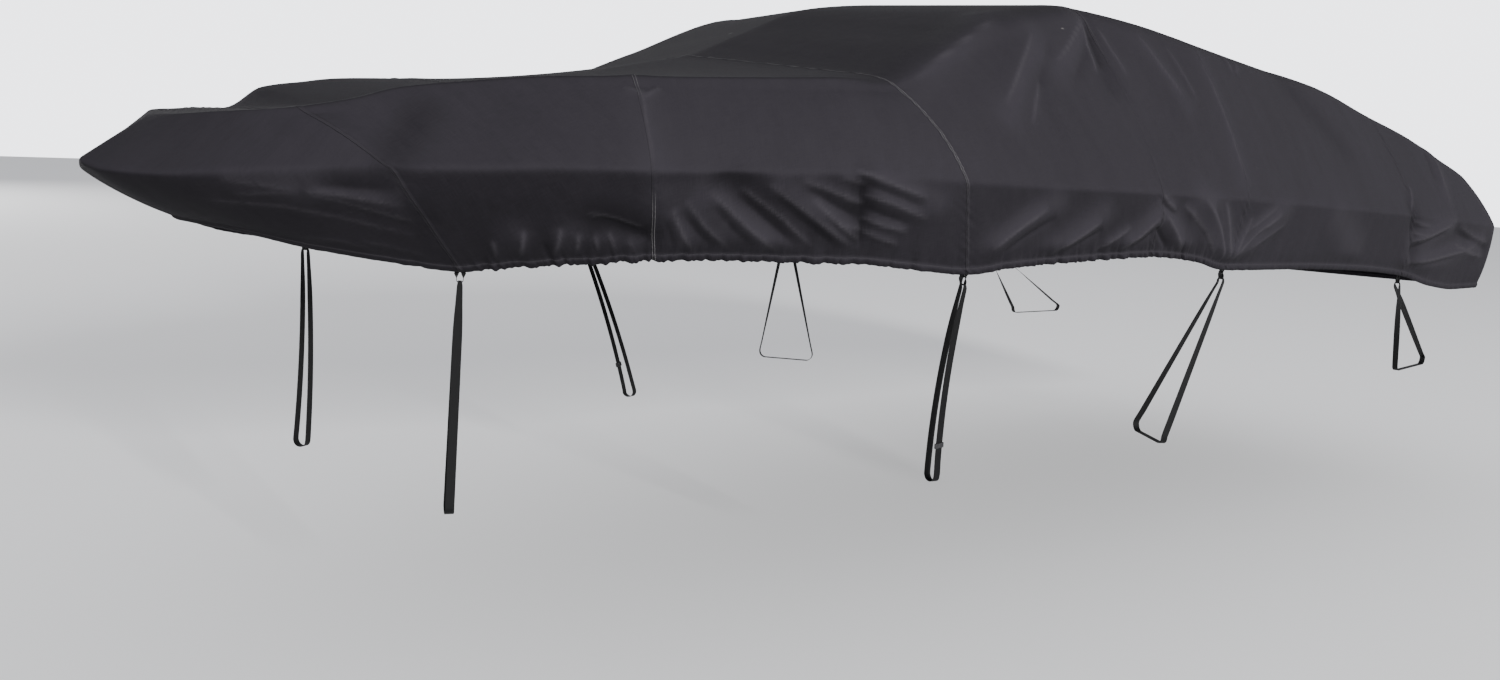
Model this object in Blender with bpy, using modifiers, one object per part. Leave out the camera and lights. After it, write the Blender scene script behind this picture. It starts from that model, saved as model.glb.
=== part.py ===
"""Fitted cover for a small open motor boat, standing as it does when it is pulled tight over its load:
seven sewn cloth panels with one elastic hem, and four webbing straps a side that hang in hem loops.

Metres. +X runs aft along the cover, +Y to starboard, +Z up. The tables give heights above the ground;
everything hangs on one empty, which puts the origin under the peak of the cloth, where it is held.
"""

import bpy
import numpy as np
from mathutils import Vector

# ---------------------------------------------------------------- sizes
CLOTH = 0.002
HEM_THICK = 0.006
SEAM_GAP = 0.0004
SEAM_STRIP = 0.006
COLUMN_STEP = 0.092
PEAK_X = -0.70
ROUNDING = 0.13
BULGE_UP = 0.6
BULGE_OUT = 0.8
STARBOARD_SHIFT = 0.12
STARBOARD_SHARE = 0.75

WEBBING = 0.0016
WEBBING_WIDE = 0.025
CLEAR = 0.0004

# Levels up half a section: 0 is the hem, 1 the crease, 2 the shoulder and 3 the ridge.
LEVELS = (0, 0.06, 0.13, 0.34, 0.56, 0.78, 1, 1.3, 1.6, 2 - ROUNDING, 2, 2 + ROUNDING, 2.35, 2.65, 3)
HEM_LEVEL = 0.07
HEM_FADE = 0.25
RIDGE_FADE = 0.5

# ---------------------------------------------------------------- the cover's sections, bow to tail
# Each row is a half section. y is the half width; lean is how much higher the starboard shoulder is.
COLUMNS = (
    "hem_x", "hem_y", "hem_z", "crease_x", "crease_y", "crease_z", "shoulder_x", "shoulder_y",
    "shoulder_z", "ridge_x", "ridge_z", "skirt_bulge", "side_bulge", "lean",
)
ROWS = {
    "stem": (-3.99, 0, 1.22, -4.25, 0, 1.372, -4.07, 0, 1.497, -3.88, 1.515, 0.025, 0, 0),
    "nose_a": (-3.96, 0.06, 1.214, -4.225, 0.08, 1.356, -4.06, 0.055, 1.498, -3.87, 1.516, 0.025, 0, 0),
    "nose_b": (-3.9, 0.16, 1.202, -4.13, 0.21, 1.352, -4.035, 0.135, 1.502, -3.85, 1.518, 0.025, 0, 0),
    "nose_c": (-3.78, 0.275, 1.17, -3.99, 0.35, 1.366, -3.995, 0.225, 1.51, -3.82, 1.52, 0.02, 0, 0),
    "nose_d": (-3.62, 0.39, 1.142, -3.85, 0.462, 1.38, -3.93, 0.315, 1.519, -3.78, 1.523, 0.015, 0, -0.005),
    "seam_1": (-3.44, 0.495, 1.118, -3.69, 0.572, 1.388, -3.85, 0.39, 1.532, -3.73, 1.527, 0.015, 0.015, -0.012),
    "step_a": (-3.38, 0.53, 1.125, -3.61, 0.62, 1.394, -3.71, 0.42, 1.562, -3.64, 1.533, 0.012, 0, -0.032),
    "step_b": (-3.33, 0.56, 1.131, -3.55, 0.655, 1.398, -3.59, 0.455, 1.6, -3.56, 1.54, 0.01, 0, -0.002),
    "fore_a": (-3.26, 0.598, 1.138, -3.47, 0.695, 1.402, -3.46, 0.52, 1.62, -3.45, 1.56, 0.01, 0, 0),
    "fore_b": (-3.13, 0.665, 1.15, -3.3, 0.775, 1.411, -3.28, 0.6, 1.645, -3.26, 1.59, 0.01, 0.005, 0),
    "seam_2": (-2.98, 0.735, 1.16, -3.095, 0.86, 1.413, -3.04, 0.69, 1.662, -3.04, 1.63, 0, 0.01, 0),
    "mid_a": (-2.78, 0.815, 1.165, -2.88, 0.935, 1.418, -2.84, 0.77, 1.673, -2.84, 1.675, 0, 0.012, 0),
    "mid_b": (-2.57, 0.89, 1.162, -2.67, 0.996, 1.423, -2.62, 0.84, 1.686, -2.62, 1.718, 0, 0.015, 0),
    "mid_c": (-2.37, 0.95, 1.158, -2.47, 1.046, 1.428, -2.42, 0.88, 1.7, -2.44, 1.755, 0, 0.02, 0),
    "seam_3": (-1.99, 1.038, 1.127, -2.11, 1.112, 1.416, -2.25, 0.895, 1.712, -2.29, 1.785, 0, 0.03, 0),
    "rise_a": (-1.8, 1.07, 1.146, -1.9, 1.142, 1.413, -1.93, 0.87, 1.84, -2.02, 1.89, 0, 0.03, -0.012),
    "brow": (-1.55, 1.106, 1.162, -1.62, 1.178, 1.41, -1.5, 0.82, 1.985, -1.72, 2, 0, 0.025, 0.01),
    "seam_4": (-1.13, 1.15, 1.176, -1.19, 1.211, 1.403, -1.18, 0.81, 2.032, -1.2, 2.065, 0, 0.02, -0.012),
    "peak": (-0.86, 1.163, 1.156, -0.9, 1.224, 1.396, -0.88, 0.87, 2.006, -0.86, 2.08, 0, 0.018, -0.018),
    "seam_5": (-0.66, 1.17, 1.122, -0.64, 1.23, 1.389, -0.6, 0.91, 1.968, -0.56, 2.075, 0, 0.015, -0.01),
    "aft_a": (-0.1, 1.178, 1.112, -0.1, 1.236, 1.371, -0.05, 0.92, 1.908, 0, 2.03, 0, 0.012, 0),
    "aft_b": (0.45, 1.176, 1.092, 0.45, 1.232, 1.35, 0.48, 0.925, 1.862, 0.45, 1.97, 0, 0.01, 0),
    "seam_6": (0.9, 1.168, 1.057, 0.86, 1.223, 1.333, 0.9, 0.945, 1.775, 0.85, 1.9, 0, 0.01, 0),
    "stern_a": (1.25, 1.158, 1, 1.25, 1.215, 1.315, 1.25, 0.985, 1.695, 1.15, 1.83, 0, 0.01, 0),
    "stern_b": (1.6, 1.14, 0.97, 1.6, 1.203, 1.297, 1.56, 1.01, 1.605, 1.4, 1.765, 0, 0.01, 0),
    "corner_a": (1.88, 1.135, 0.968, 1.86, 1.188, 1.282, 1.82, 1.03, 1.525, 1.56, 1.705, 0.01, 0.01, 0),
    "corner_b": (1.99, 1.05, 0.965, 1.99, 1.145, 1.272, 1.95, 0.995, 1.455, 1.64, 1.672, 0.015, 0.01, 0),
    "corner_c": (2.025, 0.88, 0.96, 2.06, 1.03, 1.266, 2, 0.88, 1.438, 1.69, 1.652, 0.01, 0.01, 0),
    "tail_a": (2.035, 0.5, 0.955, 2.09, 0.6, 1.262, 2.025, 0.5, 1.448, 1.72, 1.64, 0, 0.01, 0),
    "tail": (2.04, 0, 0.95, 2.1, 0, 1.26, 2.03, 0, 1.458, 1.735, 1.635, 0, 0.01, 0),
}
ROW_NAMES = list(ROWS)
TABLE = np.array([ROWS[name] for name in ROW_NAMES])
LAST = len(ROW_NAMES) - 1

# Panels, each from one seam row to the next.
PANELS = {
    "panel_nose": ("stem", "seam_1"),
    "panel_fore": ("seam_1", "seam_2"),
    "panel_mid": ("seam_2", "seam_3"),
    "panel_rise": ("seam_3", "seam_4"),
    "panel_peak": ("seam_4", "seam_5"),
    "panel_aft": ("seam_5", "seam_6"),
    "panel_stern": ("seam_6", "tail"),
}

# Folds: station is metres along the crease from the bow, level as above; depth below 0 is a trough.
FOLDS = (
    # station_0, level_0, station_1, level_1, half width, depth
    (0.42, 0.85, 0.58, 0.80, 0.050, 0.008),
    (0.58, 0.80, 0.76, 0.65, 0.050, 0.008),
    (0.40, 0.62, 0.80, 0.52, 0.060, -0.006),
    (0.84, 1.10, 0.98, 1.70, 0.060, -0.010),
    (1.31, 0.45, 1.47, 0.25, 0.050, -0.012),
    (1.04, 0.35, 1.02, 0.05, 0.045, 0.008),
    (1.22, 0.32, 1.18, 0.05, 0.045, 0.008),
    (1.49, 1.84, 1.49, 1.10, 0.060, 0.007),
    (1.51, 0.70, 1.58, 0.05, 0.050, 0.010),
    (1.62, 0.72, 1.88, 0.05, 0.055, 0.012),
    (1.70, 0.90, 2.04, 0.15, 0.050, -0.008),
    (1.86, 0.85, 2.12, 0.20, 0.050, 0.010),
    (2.12, 1.00, 2.13, 0.12, 0.045, -0.012),
    (2.10, 0.98, 2.38, 0.70, 0.050, 0.009),
    (2.62, 0.28, 2.88, 0.72, 0.055, 0.011),
    (2.88, 0.15, 3.12, 0.58, 0.055, 0.010),
    (3.23, 0.15, 3.42, 0.62, 0.050, 0.010),
    (3.45, 0.68, 3.62, 0.15, 0.050, 0.010),
    (3.67, 0.95, 3.96, 0.10, 0.060, 0.012),
    (4.25, 0.82, 3.99, 0.12, 0.060, 0.011),
    (4.70, 0.75, 4.95, 0.30, 0.080, 0.008),
    (5.46, 1.04, 5.56, 0.15, 0.055, -0.010),
    (5.90, 0.90, 5.48, 0.55, 0.060, 0.012),
    (6.33, 0.65, 5.48, 0.20, 0.060, 0.012),
    (6.49, 0.60, 5.97, 0.80, 0.060, -0.010),
    (6.05, 1.78, 5.94, 1.30, 0.060, 0.008),
    (2.90, 2.20, 2.56, 1.90, 0.070, 0.010),
    (2.98, 1.87, 2.76, 1.45, 0.060, 0.010),
    (3.40, 2.10, 3.03, 1.70, 0.070, 0.010),
    (3.42, 1.94, 3.37, 1.55, 0.060, -0.009),
    (3.64, 2.05, 3.76, 1.52, 0.060, 0.009),
    (3.98, 2.10, 3.97, 1.13, 0.060, 0.010),
    (4.60, 2.10, 4.95, 1.50, 0.090, -0.008),
)

# ---------------------------------------------------------------- straps
# foot is the lowest point under the bar that a strap goes round; gap is between its legs there, and
# turn the heading of that gap in plan, in degrees from +X. seat is how far the sewn ends of the hem
# loop stay off the hem, which is curved. Port side; starboard mirrors it.
STRAPS = {
    # name: row, seat, foot_x, foot_y, foot_z, gap, turn, sag
    "1": ("seam_1", 0.0021, -3.450, -0.475, 0.450, 0.050, 66.0, 0.010),
    "2": ("seam_3", 0.0009, -1.845, -0.840, 0.410, 0.055, 75.0, 0.020),
    "3": ("seam_5", 0.0009, -0.780, -1.000, 0.475, 0.260, 55.0, 0.000),
    "4": ("seam_6", 0.0009, 1.330, -1.080, 0.600, 0.400, 5.0, 0.000),
}
BUCKLED = "2"
BUCKLE_SHARE = 0.80
LEG_STEPS = 12
TWISTED_BY = 0.9
TAB_DROP = 0.035

# Webbing hem loop, port view: along the hem, height from the hem edge, turn of the flat, width.
TAB_PATH = (
    (-0.0090, 0.014, 0.0, 0.0160),
    (-0.0090, -0.004, 0.0, 0.0150),
    (-0.0094, -0.011, 20.0, 0.0140),
    (-0.0095, -0.018, 60.0, 0.0130),
    (-0.0090, -0.026, 90.0, 0.0120),
    (-0.0080, -0.032, 90.0, 0.0120),
    (-0.0055, -TAB_DROP, 90.0, 0.0120),
    (0.0, -TAB_DROP, 90.0, 0.0120),
)
# The strap's fold over that loop: across the cover, height over the loop's foot, width, thickness.
FOLD_PATH = (
    (0.0, 0.0, 0.0095, 0.0024),
    (0.0066, 0.0, 0.0095, 0.0024),
    (0.0092, -0.0010, 0.0095, 0.0024),
    (0.0104, -0.0040, 0.0110, 0.0022),
    (0.0108, -0.0120, 0.0150, 0.0020),
)


# ---------------------------------------------------------------- cloth surface
def unit(vectors):
    return vectors / np.maximum(np.linalg.norm(vectors, axis=-1, keepdims=True), 1e-12)


def sample(values, at):
    """Columns of values at fractional row numbers, by a monotone cubic, so no section overshoots."""
    step = np.diff(values, axis=0)
    same = step[1:] * step[:-1] > 0
    safe = np.where(same, step[1:] + step[:-1], 1.0)
    inner = np.where(same, 2 * step[1:] * step[:-1] / safe, 0.0)
    slope = np.concatenate([step[:1], inner, step[-1:]])
    k = np.clip(np.floor(at).astype(int), 0, len(values) - 2)
    u = (at - k)[..., None]
    blend = u * u * (3 - 2 * u)
    return (
        values[k] * (1 - blend)
        + values[k + 1] * blend
        + slope[k] * u * (1 - u) ** 2
        - slope[k + 1] * u * u * (1 - u)
    )


def crease_plan(at):
    """Plan points of the crease. Past either end the rows run on round the other side."""
    beyond = (at < 0) | (at > LAST)
    inside = LAST - np.abs(LAST - np.abs(at))
    turn = np.stack([np.ones_like(at), np.where(beyond, -1.0, 1.0)], axis=-1)
    return sample(TABLE[:, 3:5], inside) * turn


def section(at, level, side):
    """Points of the drawn surface at rows (n) and levels (m), in port space: an n by m by 3 array."""
    values = sample(TABLE, at)
    row = {name: values[..., k] for k, name in enumerate(COLUMNS)}
    lean = row["lean"] if side > 0 else 0.0

    def point(x, y, z):
        return np.stack([x, -y, z + 0 * x], axis=-1)[..., None, :]

    hem = point(row["hem_x"], row["hem_y"], row["hem_z"])
    crease = point(row["crease_x"], row["crease_y"], row["crease_z"])
    shoulder = point(row["shoulder_x"], row["shoulder_y"], row["shoulder_z"] + lean)
    ridge = point(row["ridge_x"], 0 * row["ridge_x"], row["ridge_z"])
    low = shoulder + (crease - shoulder) * ROUNDING
    high = shoulder + (ridge - shoulder) * ROUNDING

    run = crease_plan(at + 0.01) - crease_plan(at - 0.01)
    out = np.stack([-run[..., 1], -run[..., 0], 0 * run[..., 0]], axis=-1)
    out = unit(out)[..., None, :]
    level = level[..., None]

    def sag(share, depth):
        return depth[..., None, None] * 4 * share * (1 - share)

    u = np.clip(level, 0, 1)
    v = np.clip((level - 1) / (1 - ROUNDING), 0, 1)
    w = np.clip((level - 2 + ROUNDING) / (2 * ROUNDING), 0, 1)
    r = np.clip((level - 2 - ROUNDING) / (1 - ROUNDING), 0, 1)
    skirt = hem + (crease - hem) * u + out * sag(u, row["skirt_bulge"])
    flank_way = out * BULGE_OUT + Vector((0, 0, BULGE_UP))
    flank = crease + (low - crease) * v + flank_way * sag(v, row["side_bulge"])
    corner = (1 - w) ** 2 * low + 2 * w * (1 - w) * shoulder + w * w * high
    roof = high + (ridge - high) * r
    above = np.where(level < 2 + ROUNDING, corner, roof)
    return np.where(level < 1, skirt, np.where(level < 2 - ROUNDING, flank, above))


def stations():
    """Row numbers, and the metres along the crease at each."""
    at = np.linspace(0, LAST, 1200)
    run = np.diff(sample(TABLE[:, 3:6], at), axis=0)
    return at, np.concatenate([[0.0], np.cumsum(np.linalg.norm(run, axis=1))])


ROW_AT, STATION = stations()


def row_at(station):
    return np.interp(station, STATION, ROW_AT)


def fold_height(points, side):
    """How far the folds lift each point: a bell across a path that is laid on the surface."""
    height = np.zeros(points.shape[:-1])
    for station_0, level_0, station_1, level_1, half_width, depth in FOLDS:
        shift = STARBOARD_SHIFT if side > 0 else 0.0
        share = STARBOARD_SHARE if side > 0 else 1.0
        along = np.linspace(0, 1, 5)
        at = row_at(station_0 + shift + (station_1 - station_0) * along)
        levels = level_0 + (level_1 - level_0) * along
        path = np.array([section(np.array([a]), np.array([b]), side)[0, 0] for a, b in zip(at, levels)])
        nearest = np.full(height.shape, np.inf)
        for start, end in zip(path[:-1], path[1:]):
            run = end - start
            share_along = np.clip((points - start) @ run / (run @ run), 0, 1)[..., None]
            nearest = np.minimum(nearest, np.linalg.norm(points - start - share_along * run, axis=-1))
        height += share * depth * np.exp(-((nearest / half_width) ** 2))
    return height


def cloth(at, level, side):
    """Port-space points of the outer face with its folds, at rows by levels."""
    points = section(at, level, side)
    nudge = 0.004
    after, before = np.clip(at + nudge, 0, LAST), np.clip(at - nudge, 0, LAST)
    aft = section(after, level, side) - section(before, level, side)
    up = section(at, np.clip(level + nudge, 0, 3), side) - section(at, np.clip(level - nudge, 0, 3), side)
    fade = np.clip((3 - level) / RIDGE_FADE, 0, 1) * np.clip((level - HEM_LEVEL) / HEM_FADE, 0, 1)
    fade = fade * fade * (3 - 2 * fade)
    return points + unit(np.cross(aft, up)) * (fold_height(points, side) * fade)[..., None]


def whole_section(at, levels=LEVELS):
    """Rows from the port hem over the ridge to the starboard hem."""
    level = np.array(levels, float)
    port = cloth(at, level, -1)
    starboard = cloth(at, level, 1) * (1, -1, 1)
    return np.concatenate([port, starboard[:, -2::-1]], axis=1)


def panel_rows(first, last):
    """Even columns over a panel, and which of its ends are seams."""
    start, end = ROW_NAMES.index(first), ROW_NAMES.index(last)
    from_station, to_station = np.interp([start, end], ROW_AT, STATION)
    count = max(4, round((to_station - from_station) / COLUMN_STEP))
    at = row_at(np.linspace(from_station, to_station, count + 1))
    at[0], at[-1] = start, end
    return at, start > 0, end < LAST


def seam_columns(at, towards):
    """The two columns at a seam. The strip between them is square to the seam and in the surface,
    so the panels on either side of it meet in line."""
    nudge = 0.004
    seam = whole_section(np.array([at]))[0]
    run = whole_section(np.array([at + nudge]))[0] - whole_section(np.array([at - nudge]))[0]
    edges = unit(np.diff(seam, axis=0))
    line = unit(np.concatenate([edges[:1], edges[1:] + edges[:-1], edges[-1:]]))
    square = unit(run - line * (run * line).sum(axis=1, keepdims=True))
    return seam + square * towards * SEAM_GAP / 2, seam + square * towards * (SEAM_GAP / 2 + SEAM_STRIP)


def build_panel(name, first, last, material, hang):
    at, seam_before, seam_after = panel_rows(first, last)
    grid = list(whole_section(at))
    if seam_before:
        grid[0:1] = list(seam_columns(at[0], 1))
    if seam_after:
        grid[-1:] = list(seam_columns(at[-1], -1))[::-1]
    grid = np.array(grid)
    across = grid.shape[1]
    faces = [
        (i * across + j, (i + 1) * across + j, (i + 1) * across + j + 1, i * across + j + 1)
        for i in range(len(grid) - 1)
        for j in range(across - 1)
    ]
    mesh = bpy.data.meshes.new(name)
    mesh.from_pydata([tuple(p) for p in grid.reshape(-1, 3)], [], faces)
    panel = bpy.data.objects.new(name, mesh)
    hem = panel.vertex_groups.new(name="hem")
    low = sum(level < HEM_LEVEL for level in LEVELS)
    edge = [i * across + j for i in range(len(grid)) for j in range(across) if min(j, across - 1 - j) < low]
    hem.add(edge, 1.0, "REPLACE")
    weld = panel.modifiers.new("close the ends", "WELD")
    weld.merge_threshold = 0.00001
    sheet = panel.modifiers.new("cloth", "SOLIDIFY")
    sheet.thickness = HEM_THICK
    sheet.offset = -1
    sheet.use_even_offset = True
    sheet.vertex_group = "hem"
    sheet.thickness_vertex_group = CLOTH / HEM_THICK
    finish(panel, material, hang)


# ---------------------------------------------------------------- webbing
def sweep(name, stations_list, closed, material, hang):
    """Webbing with a flat section along a path, through stations of (point, flat direction, width,
    thickness). A ring's broad faces are split along the same diagonal, so that where it twists one
    doesn't cross the other."""
    points = [Vector(station[0]) for station in stations_list]
    count = len(points)
    verts = []
    for i, (point, flat, width, thickness) in enumerate(stations_list):
        before = points[i - 1] if closed or i else points[i]
        after = points[(i + 1) % count] if closed or i < count - 1 else points[i]
        run = (after - before).normalized()
        flat = Vector(flat)
        flat = (flat - run * flat.dot(run)).normalized()
        face = run.cross(flat)
        for a, b in ((-1, -1), (1, -1), (1, 1), (-1, 1)):
            verts.append(points[i] + flat * a * width / 2 + face * b * thickness / 2)
    links = count if closed else count - 1
    faces = []
    for i in range(links):
        here, there = 4 * i, 4 * ((i + 1) % count)
        for k in range(4):
            a, b, c, d = here + k, here + (k + 1) % 4, there + (k + 1) % 4, there + k
            if not closed:
                faces.append((a, b, c, d))
            elif k == 2:
                faces += [(a, b, d), (b, c, d)]
            else:
                faces += [(a, b, c), (a, c, d)]
    if not closed:
        faces += [(3, 2, 1, 0), tuple(4 * (count - 1) + k for k in range(4))]
    mesh = bpy.data.meshes.new(name)
    mesh.from_pydata([tuple(v) for v in verts], [], faces)
    piece = bpy.data.objects.new(name, mesh)
    finish(piece, material, hang)
    return piece


def mirrored(vector, side):
    return Vector((vector[0], -vector[1] * side, vector[2]))


def hem_frame(row, seat):
    """At a seam's hem, port side: where the loop is sewn on, inside the hem, and the directions
    along the hem, up the skirt, and level outwards."""
    at = np.array([float(ROW_NAMES.index(row))])
    edge, above = (Vector(p) for p in cloth(at, np.array([0.0, LEVELS[1]]), -1)[0])
    ends = [cloth(at + d, np.array([0.0]), -1)[0, 0] for d in (-0.01, 0.01)]
    along = Vector(ends[1] - ends[0]).normalized()
    out = along.cross(above - edge).normalized()
    up = out.cross(along)
    sewn = edge - out * (HEM_THICK + seat + WEBBING / 2)
    return sewn, along, up, Vector((out.x, out.y, 0)).normalized()


def build_tab(name, key, side, material, hang):
    """A loop sewn to the inside of the hem: both ends lie flat on it, and the loop below is on edge."""
    sewn, along, up, out = hem_frame(*STRAPS[key][:2])
    level = out.cross(Vector((0, 0, 1)))
    half = list(TAB_PATH)
    full = half + [(-d, h, 180.0 - turn, width) for d, h, turn, width in half[-2::-1]]
    path = []
    for d, height, turn, width in full:
        held = max(height, -HEM_THICK)
        run = along if height == held else level
        point = sewn + run * d + up * held + Vector((0, 0, height - held))
        flat = run * np.cos(np.radians(turn)) + out * np.sin(np.radians(turn))
        path.append((mirrored(point, side), mirrored(flat, side), width, WEBBING))
    sweep(name, path, False, material, hang)


def strap_path(key):
    """A strap's ring, port side: over the hem loop, down both legs and round the foot."""
    row, seat, foot_x, foot_y, foot_z, gap, turn, sag = STRAPS[key]
    sewn, along, up, out = hem_frame(row, seat)
    along = out.cross(Vector((0, 0, 1)))
    fold_thick = FOLD_PATH[0][3]
    lift = HEM_THICK - TAB_DROP + WEBBING / 2 + CLEAR + fold_thick / 2
    top = sewn - up * HEM_THICK + Vector((0, 0, lift))
    foot = Vector((foot_x, foot_y, foot_z + WEBBING / 2))
    heading = Vector((np.cos(np.radians(turn)), np.sin(np.radians(turn)), 0))
    if heading.dot(out) < 0:
        heading = -heading
    corner = min(0.03, gap * 0.45)

    def leg(sign):
        stations_list = []
        for across, height, width, thickness in FOLD_PATH[1:]:
            point = top + out * sign * across + Vector((0, 0, height))
            stations_list.append((point, along, width, thickness))
        start = stations_list[-1][0]
        end = foot + heading * sign * gap / 2 + Vector((0, 0, corner))
        for k in range(1, LEG_STEPS + 1):
            share = k / LEG_STEPS
            point = start.lerp(end, share) + out * -sag * 4 * share * (1 - share)
            facing = out.lerp(heading, min(1.0, share / TWISTED_BY)).normalized()
            width = 0.015 + (WEBBING_WIDE - 0.015) * min(1.0, share / 0.2)
            flat = Vector((0, 0, 1)).cross(facing) * -1
            stations_list.append((point, flat, width, WEBBING))
        flat = Vector((0, 0, 1)).cross(heading) * -1
        for degrees in (30, 60, 90):
            a = np.radians(degrees)
            shift = heading * sign * (gap / 2 - corner + corner * np.cos(a))
            point = foot + shift + Vector((0, 0, corner - corner * np.sin(a)))
            stations_list.append((point, flat, WEBBING_WIDE, WEBBING))
        return stations_list

    width, thickness = FOLD_PATH[0][2:]
    return [(top, along, width, thickness)] + leg(1) + leg(-1)[::-1]


def build_strap(name, key, side, material, hang):
    path = [(mirrored(p, side), mirrored(f, side), w, t) for p, f, w, t in strap_path(key)]
    sweep(name, path, True, material, hang)


def build_buckle(name, side, material, hang, cutters):
    """A slide on the outer leg of a strap: a bevelled plate with one slot that the webbing goes through."""
    path = strap_path(BUCKLED)
    outer = path[len(FOLD_PATH): len(FOLD_PATH) + LEG_STEPS]
    here = round(BUCKLE_SHARE * (LEG_STEPS - 1))
    point, flat = outer[here][0], outer[here][1]
    run = (outer[here][0] - outer[here - 1][0]).normalized()
    flat = (flat - run * flat.dot(run)).normalized()
    face = flat.cross(run)
    body_size = (WEBBING_WIDE + 0.009, 0.0060, 0.018)
    slot_size = (WEBBING_WIDE + 2 * CLEAR, WEBBING + 2 * CLEAR, 0.030)
    made = []
    for label, size in (("", body_size), ("_slot", slot_size)):
        corners = [
            mirrored(point + flat * a * size[0] / 2 + face * b * size[1] / 2 + run * c * size[2] / 2, side)
            for c in (-1, 1)
            for a, b in ((-1, -1), (1, -1), (1, 1), (-1, 1))
        ]
        faces = [(3, 2, 1, 0), (4, 5, 6, 7)] + [(k, (k + 1) % 4, 4 + (k + 1) % 4, 4 + k) for k in range(4)]
        mesh = bpy.data.meshes.new(name + label)
        mesh.from_pydata([tuple(p) for p in corners], [], faces)
        mesh.update()
        if signed_volume(mesh) < 0:
            mesh.flip_normals()
        made.append(bpy.data.objects.new(name + label, mesh))
    body, slot = made
    cutters.objects.link(slot)
    slot.parent = hang
    slot.hide_render = True
    slot.display_type = "WIRE"
    edge = body.modifiers.new("edges", "BEVEL")
    edge.width = 0.0012
    edge.segments = 2
    cut = body.modifiers.new("slot", "BOOLEAN")
    cut.operation = "DIFFERENCE"
    cut.solver = "EXACT"
    cut.object = slot
    finish(body, material, hang)


# ---------------------------------------------------------------- shared steps
def signed_volume(mesh):
    mesh.calc_loop_triangles()
    total = 0.0
    for triangle in mesh.loop_triangles:
        a, b, c = (mesh.vertices[i].co for i in triangle.vertices)
        total += a.dot(b.cross(c))
    return total / 6


def finish(piece, material, hang):
    """Gives a piece its material, its place under the empty and its collection, outward faces first."""
    mesh = piece.data
    mesh.update()
    if not piece.name.startswith("panel") and signed_volume(mesh) < 0:
        mesh.flip_normals()
    mesh.materials.append(material)
    bpy.data.collections["boat_cover"].objects.link(piece)
    piece.parent = hang


def principled(name, colour, roughness, sheen):
    material = bpy.data.materials.new(name)
    material.use_nodes = True
    shader = material.node_tree.nodes["Principled BSDF"]
    shader.inputs["Base Color"].default_value = (*colour, 1)
    shader.inputs["Roughness"].default_value = roughness
    shader.inputs["Sheen Weight"].default_value = sheen
    return material


def cloth_material():
    return principled("woven_cloth", (0.045, 0.043, 0.048), 0.85, 0.2)


def webbing_material():
    return principled("webbing", (0.012, 0.012, 0.013), 0.8, 0.1)


def buckle_material():
    return principled("buckle", (0.02, 0.02, 0.022), 0.4, 0.0)


def main():
    for obj in list(bpy.data.objects):
        bpy.data.objects.remove(obj)
    scene = bpy.context.scene
    scene.unit_settings.system = "METRIC"
    cover = bpy.data.collections.new("boat_cover")
    cutters = bpy.data.collections.new("cutters")
    scene.collection.children.link(cover)
    scene.collection.children.link(cutters)
    cutters.hide_render = True

    peak_row = np.interp(PEAK_X, sample(TABLE[:, 9:10], ROW_AT)[:, 0], ROW_AT)
    peak = whole_section(np.array([peak_row]))[0][len(LEVELS) - 1]
    hang = bpy.data.objects.new("hang_point", None)
    hang.location = -Vector(peak) + Vector((0, 0, CLOTH))
    cover.objects.link(hang)

    woven = cloth_material()
    tape = webbing_material()
    plastic = buckle_material()
    for name, (first, last) in PANELS.items():
        build_panel(name, first, last, woven, hang)
    for side, word in ((-1, "port"), (1, "starboard")):
        mirror = 1 if side > 0 else -1
        for key in STRAPS:
            build_tab(f"hem_loop_{key}_{word}", key, mirror, tape, hang)
            build_strap(f"strap_{key}_{word}", key, mirror, tape, hang)
        build_buckle(f"slide_{BUCKLED}_{word}", mirror, plastic, hang, cutters)


main()
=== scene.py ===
"""The looks of a fitted, sewn boat cover, pulled tight and tied down with webbing straps. It follows
the cover as it is put together: the place it is seen from, the cloth, the loops in its hem, and the
straps that hang in them.

Metres, in the row frame: +X runs to the tail, -Y to port, +Z up, and the origin is where the cover
is held, under its peak.
"""

import bmesh
import bpy
import numpy as np
from mathutils import Matrix, Vector


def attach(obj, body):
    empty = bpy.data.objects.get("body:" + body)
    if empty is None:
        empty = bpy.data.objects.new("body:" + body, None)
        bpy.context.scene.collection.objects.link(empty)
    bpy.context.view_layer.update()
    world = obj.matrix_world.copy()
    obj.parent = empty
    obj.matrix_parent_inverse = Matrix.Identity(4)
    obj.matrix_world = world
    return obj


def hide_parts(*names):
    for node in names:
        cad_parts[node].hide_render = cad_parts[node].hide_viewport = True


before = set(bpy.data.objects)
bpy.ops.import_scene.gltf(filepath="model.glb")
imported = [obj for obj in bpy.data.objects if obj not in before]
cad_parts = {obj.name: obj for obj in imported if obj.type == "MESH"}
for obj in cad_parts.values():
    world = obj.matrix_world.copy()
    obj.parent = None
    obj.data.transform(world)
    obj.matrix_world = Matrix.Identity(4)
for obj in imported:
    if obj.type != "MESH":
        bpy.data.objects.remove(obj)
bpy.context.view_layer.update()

# ------------------------------------------------------------------------------ the view
# The cover is seen from its port bow, from the height of someone standing on the ground. It stands
# on a pale floor. A broad soft lamp far off on each side lights it, and so does the air around it.
MOUNT_UP = 2.07624221
SEEN_FROM = (-4.57855, -3.67458, -0.58750)
YAW = 0.73888
PITCH = 0.14255
ROLL = 0.04906
FOCAL_PIXELS = 1350.07
IMAGE_PIXELS = 1500
SENSOR = 36.0

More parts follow.
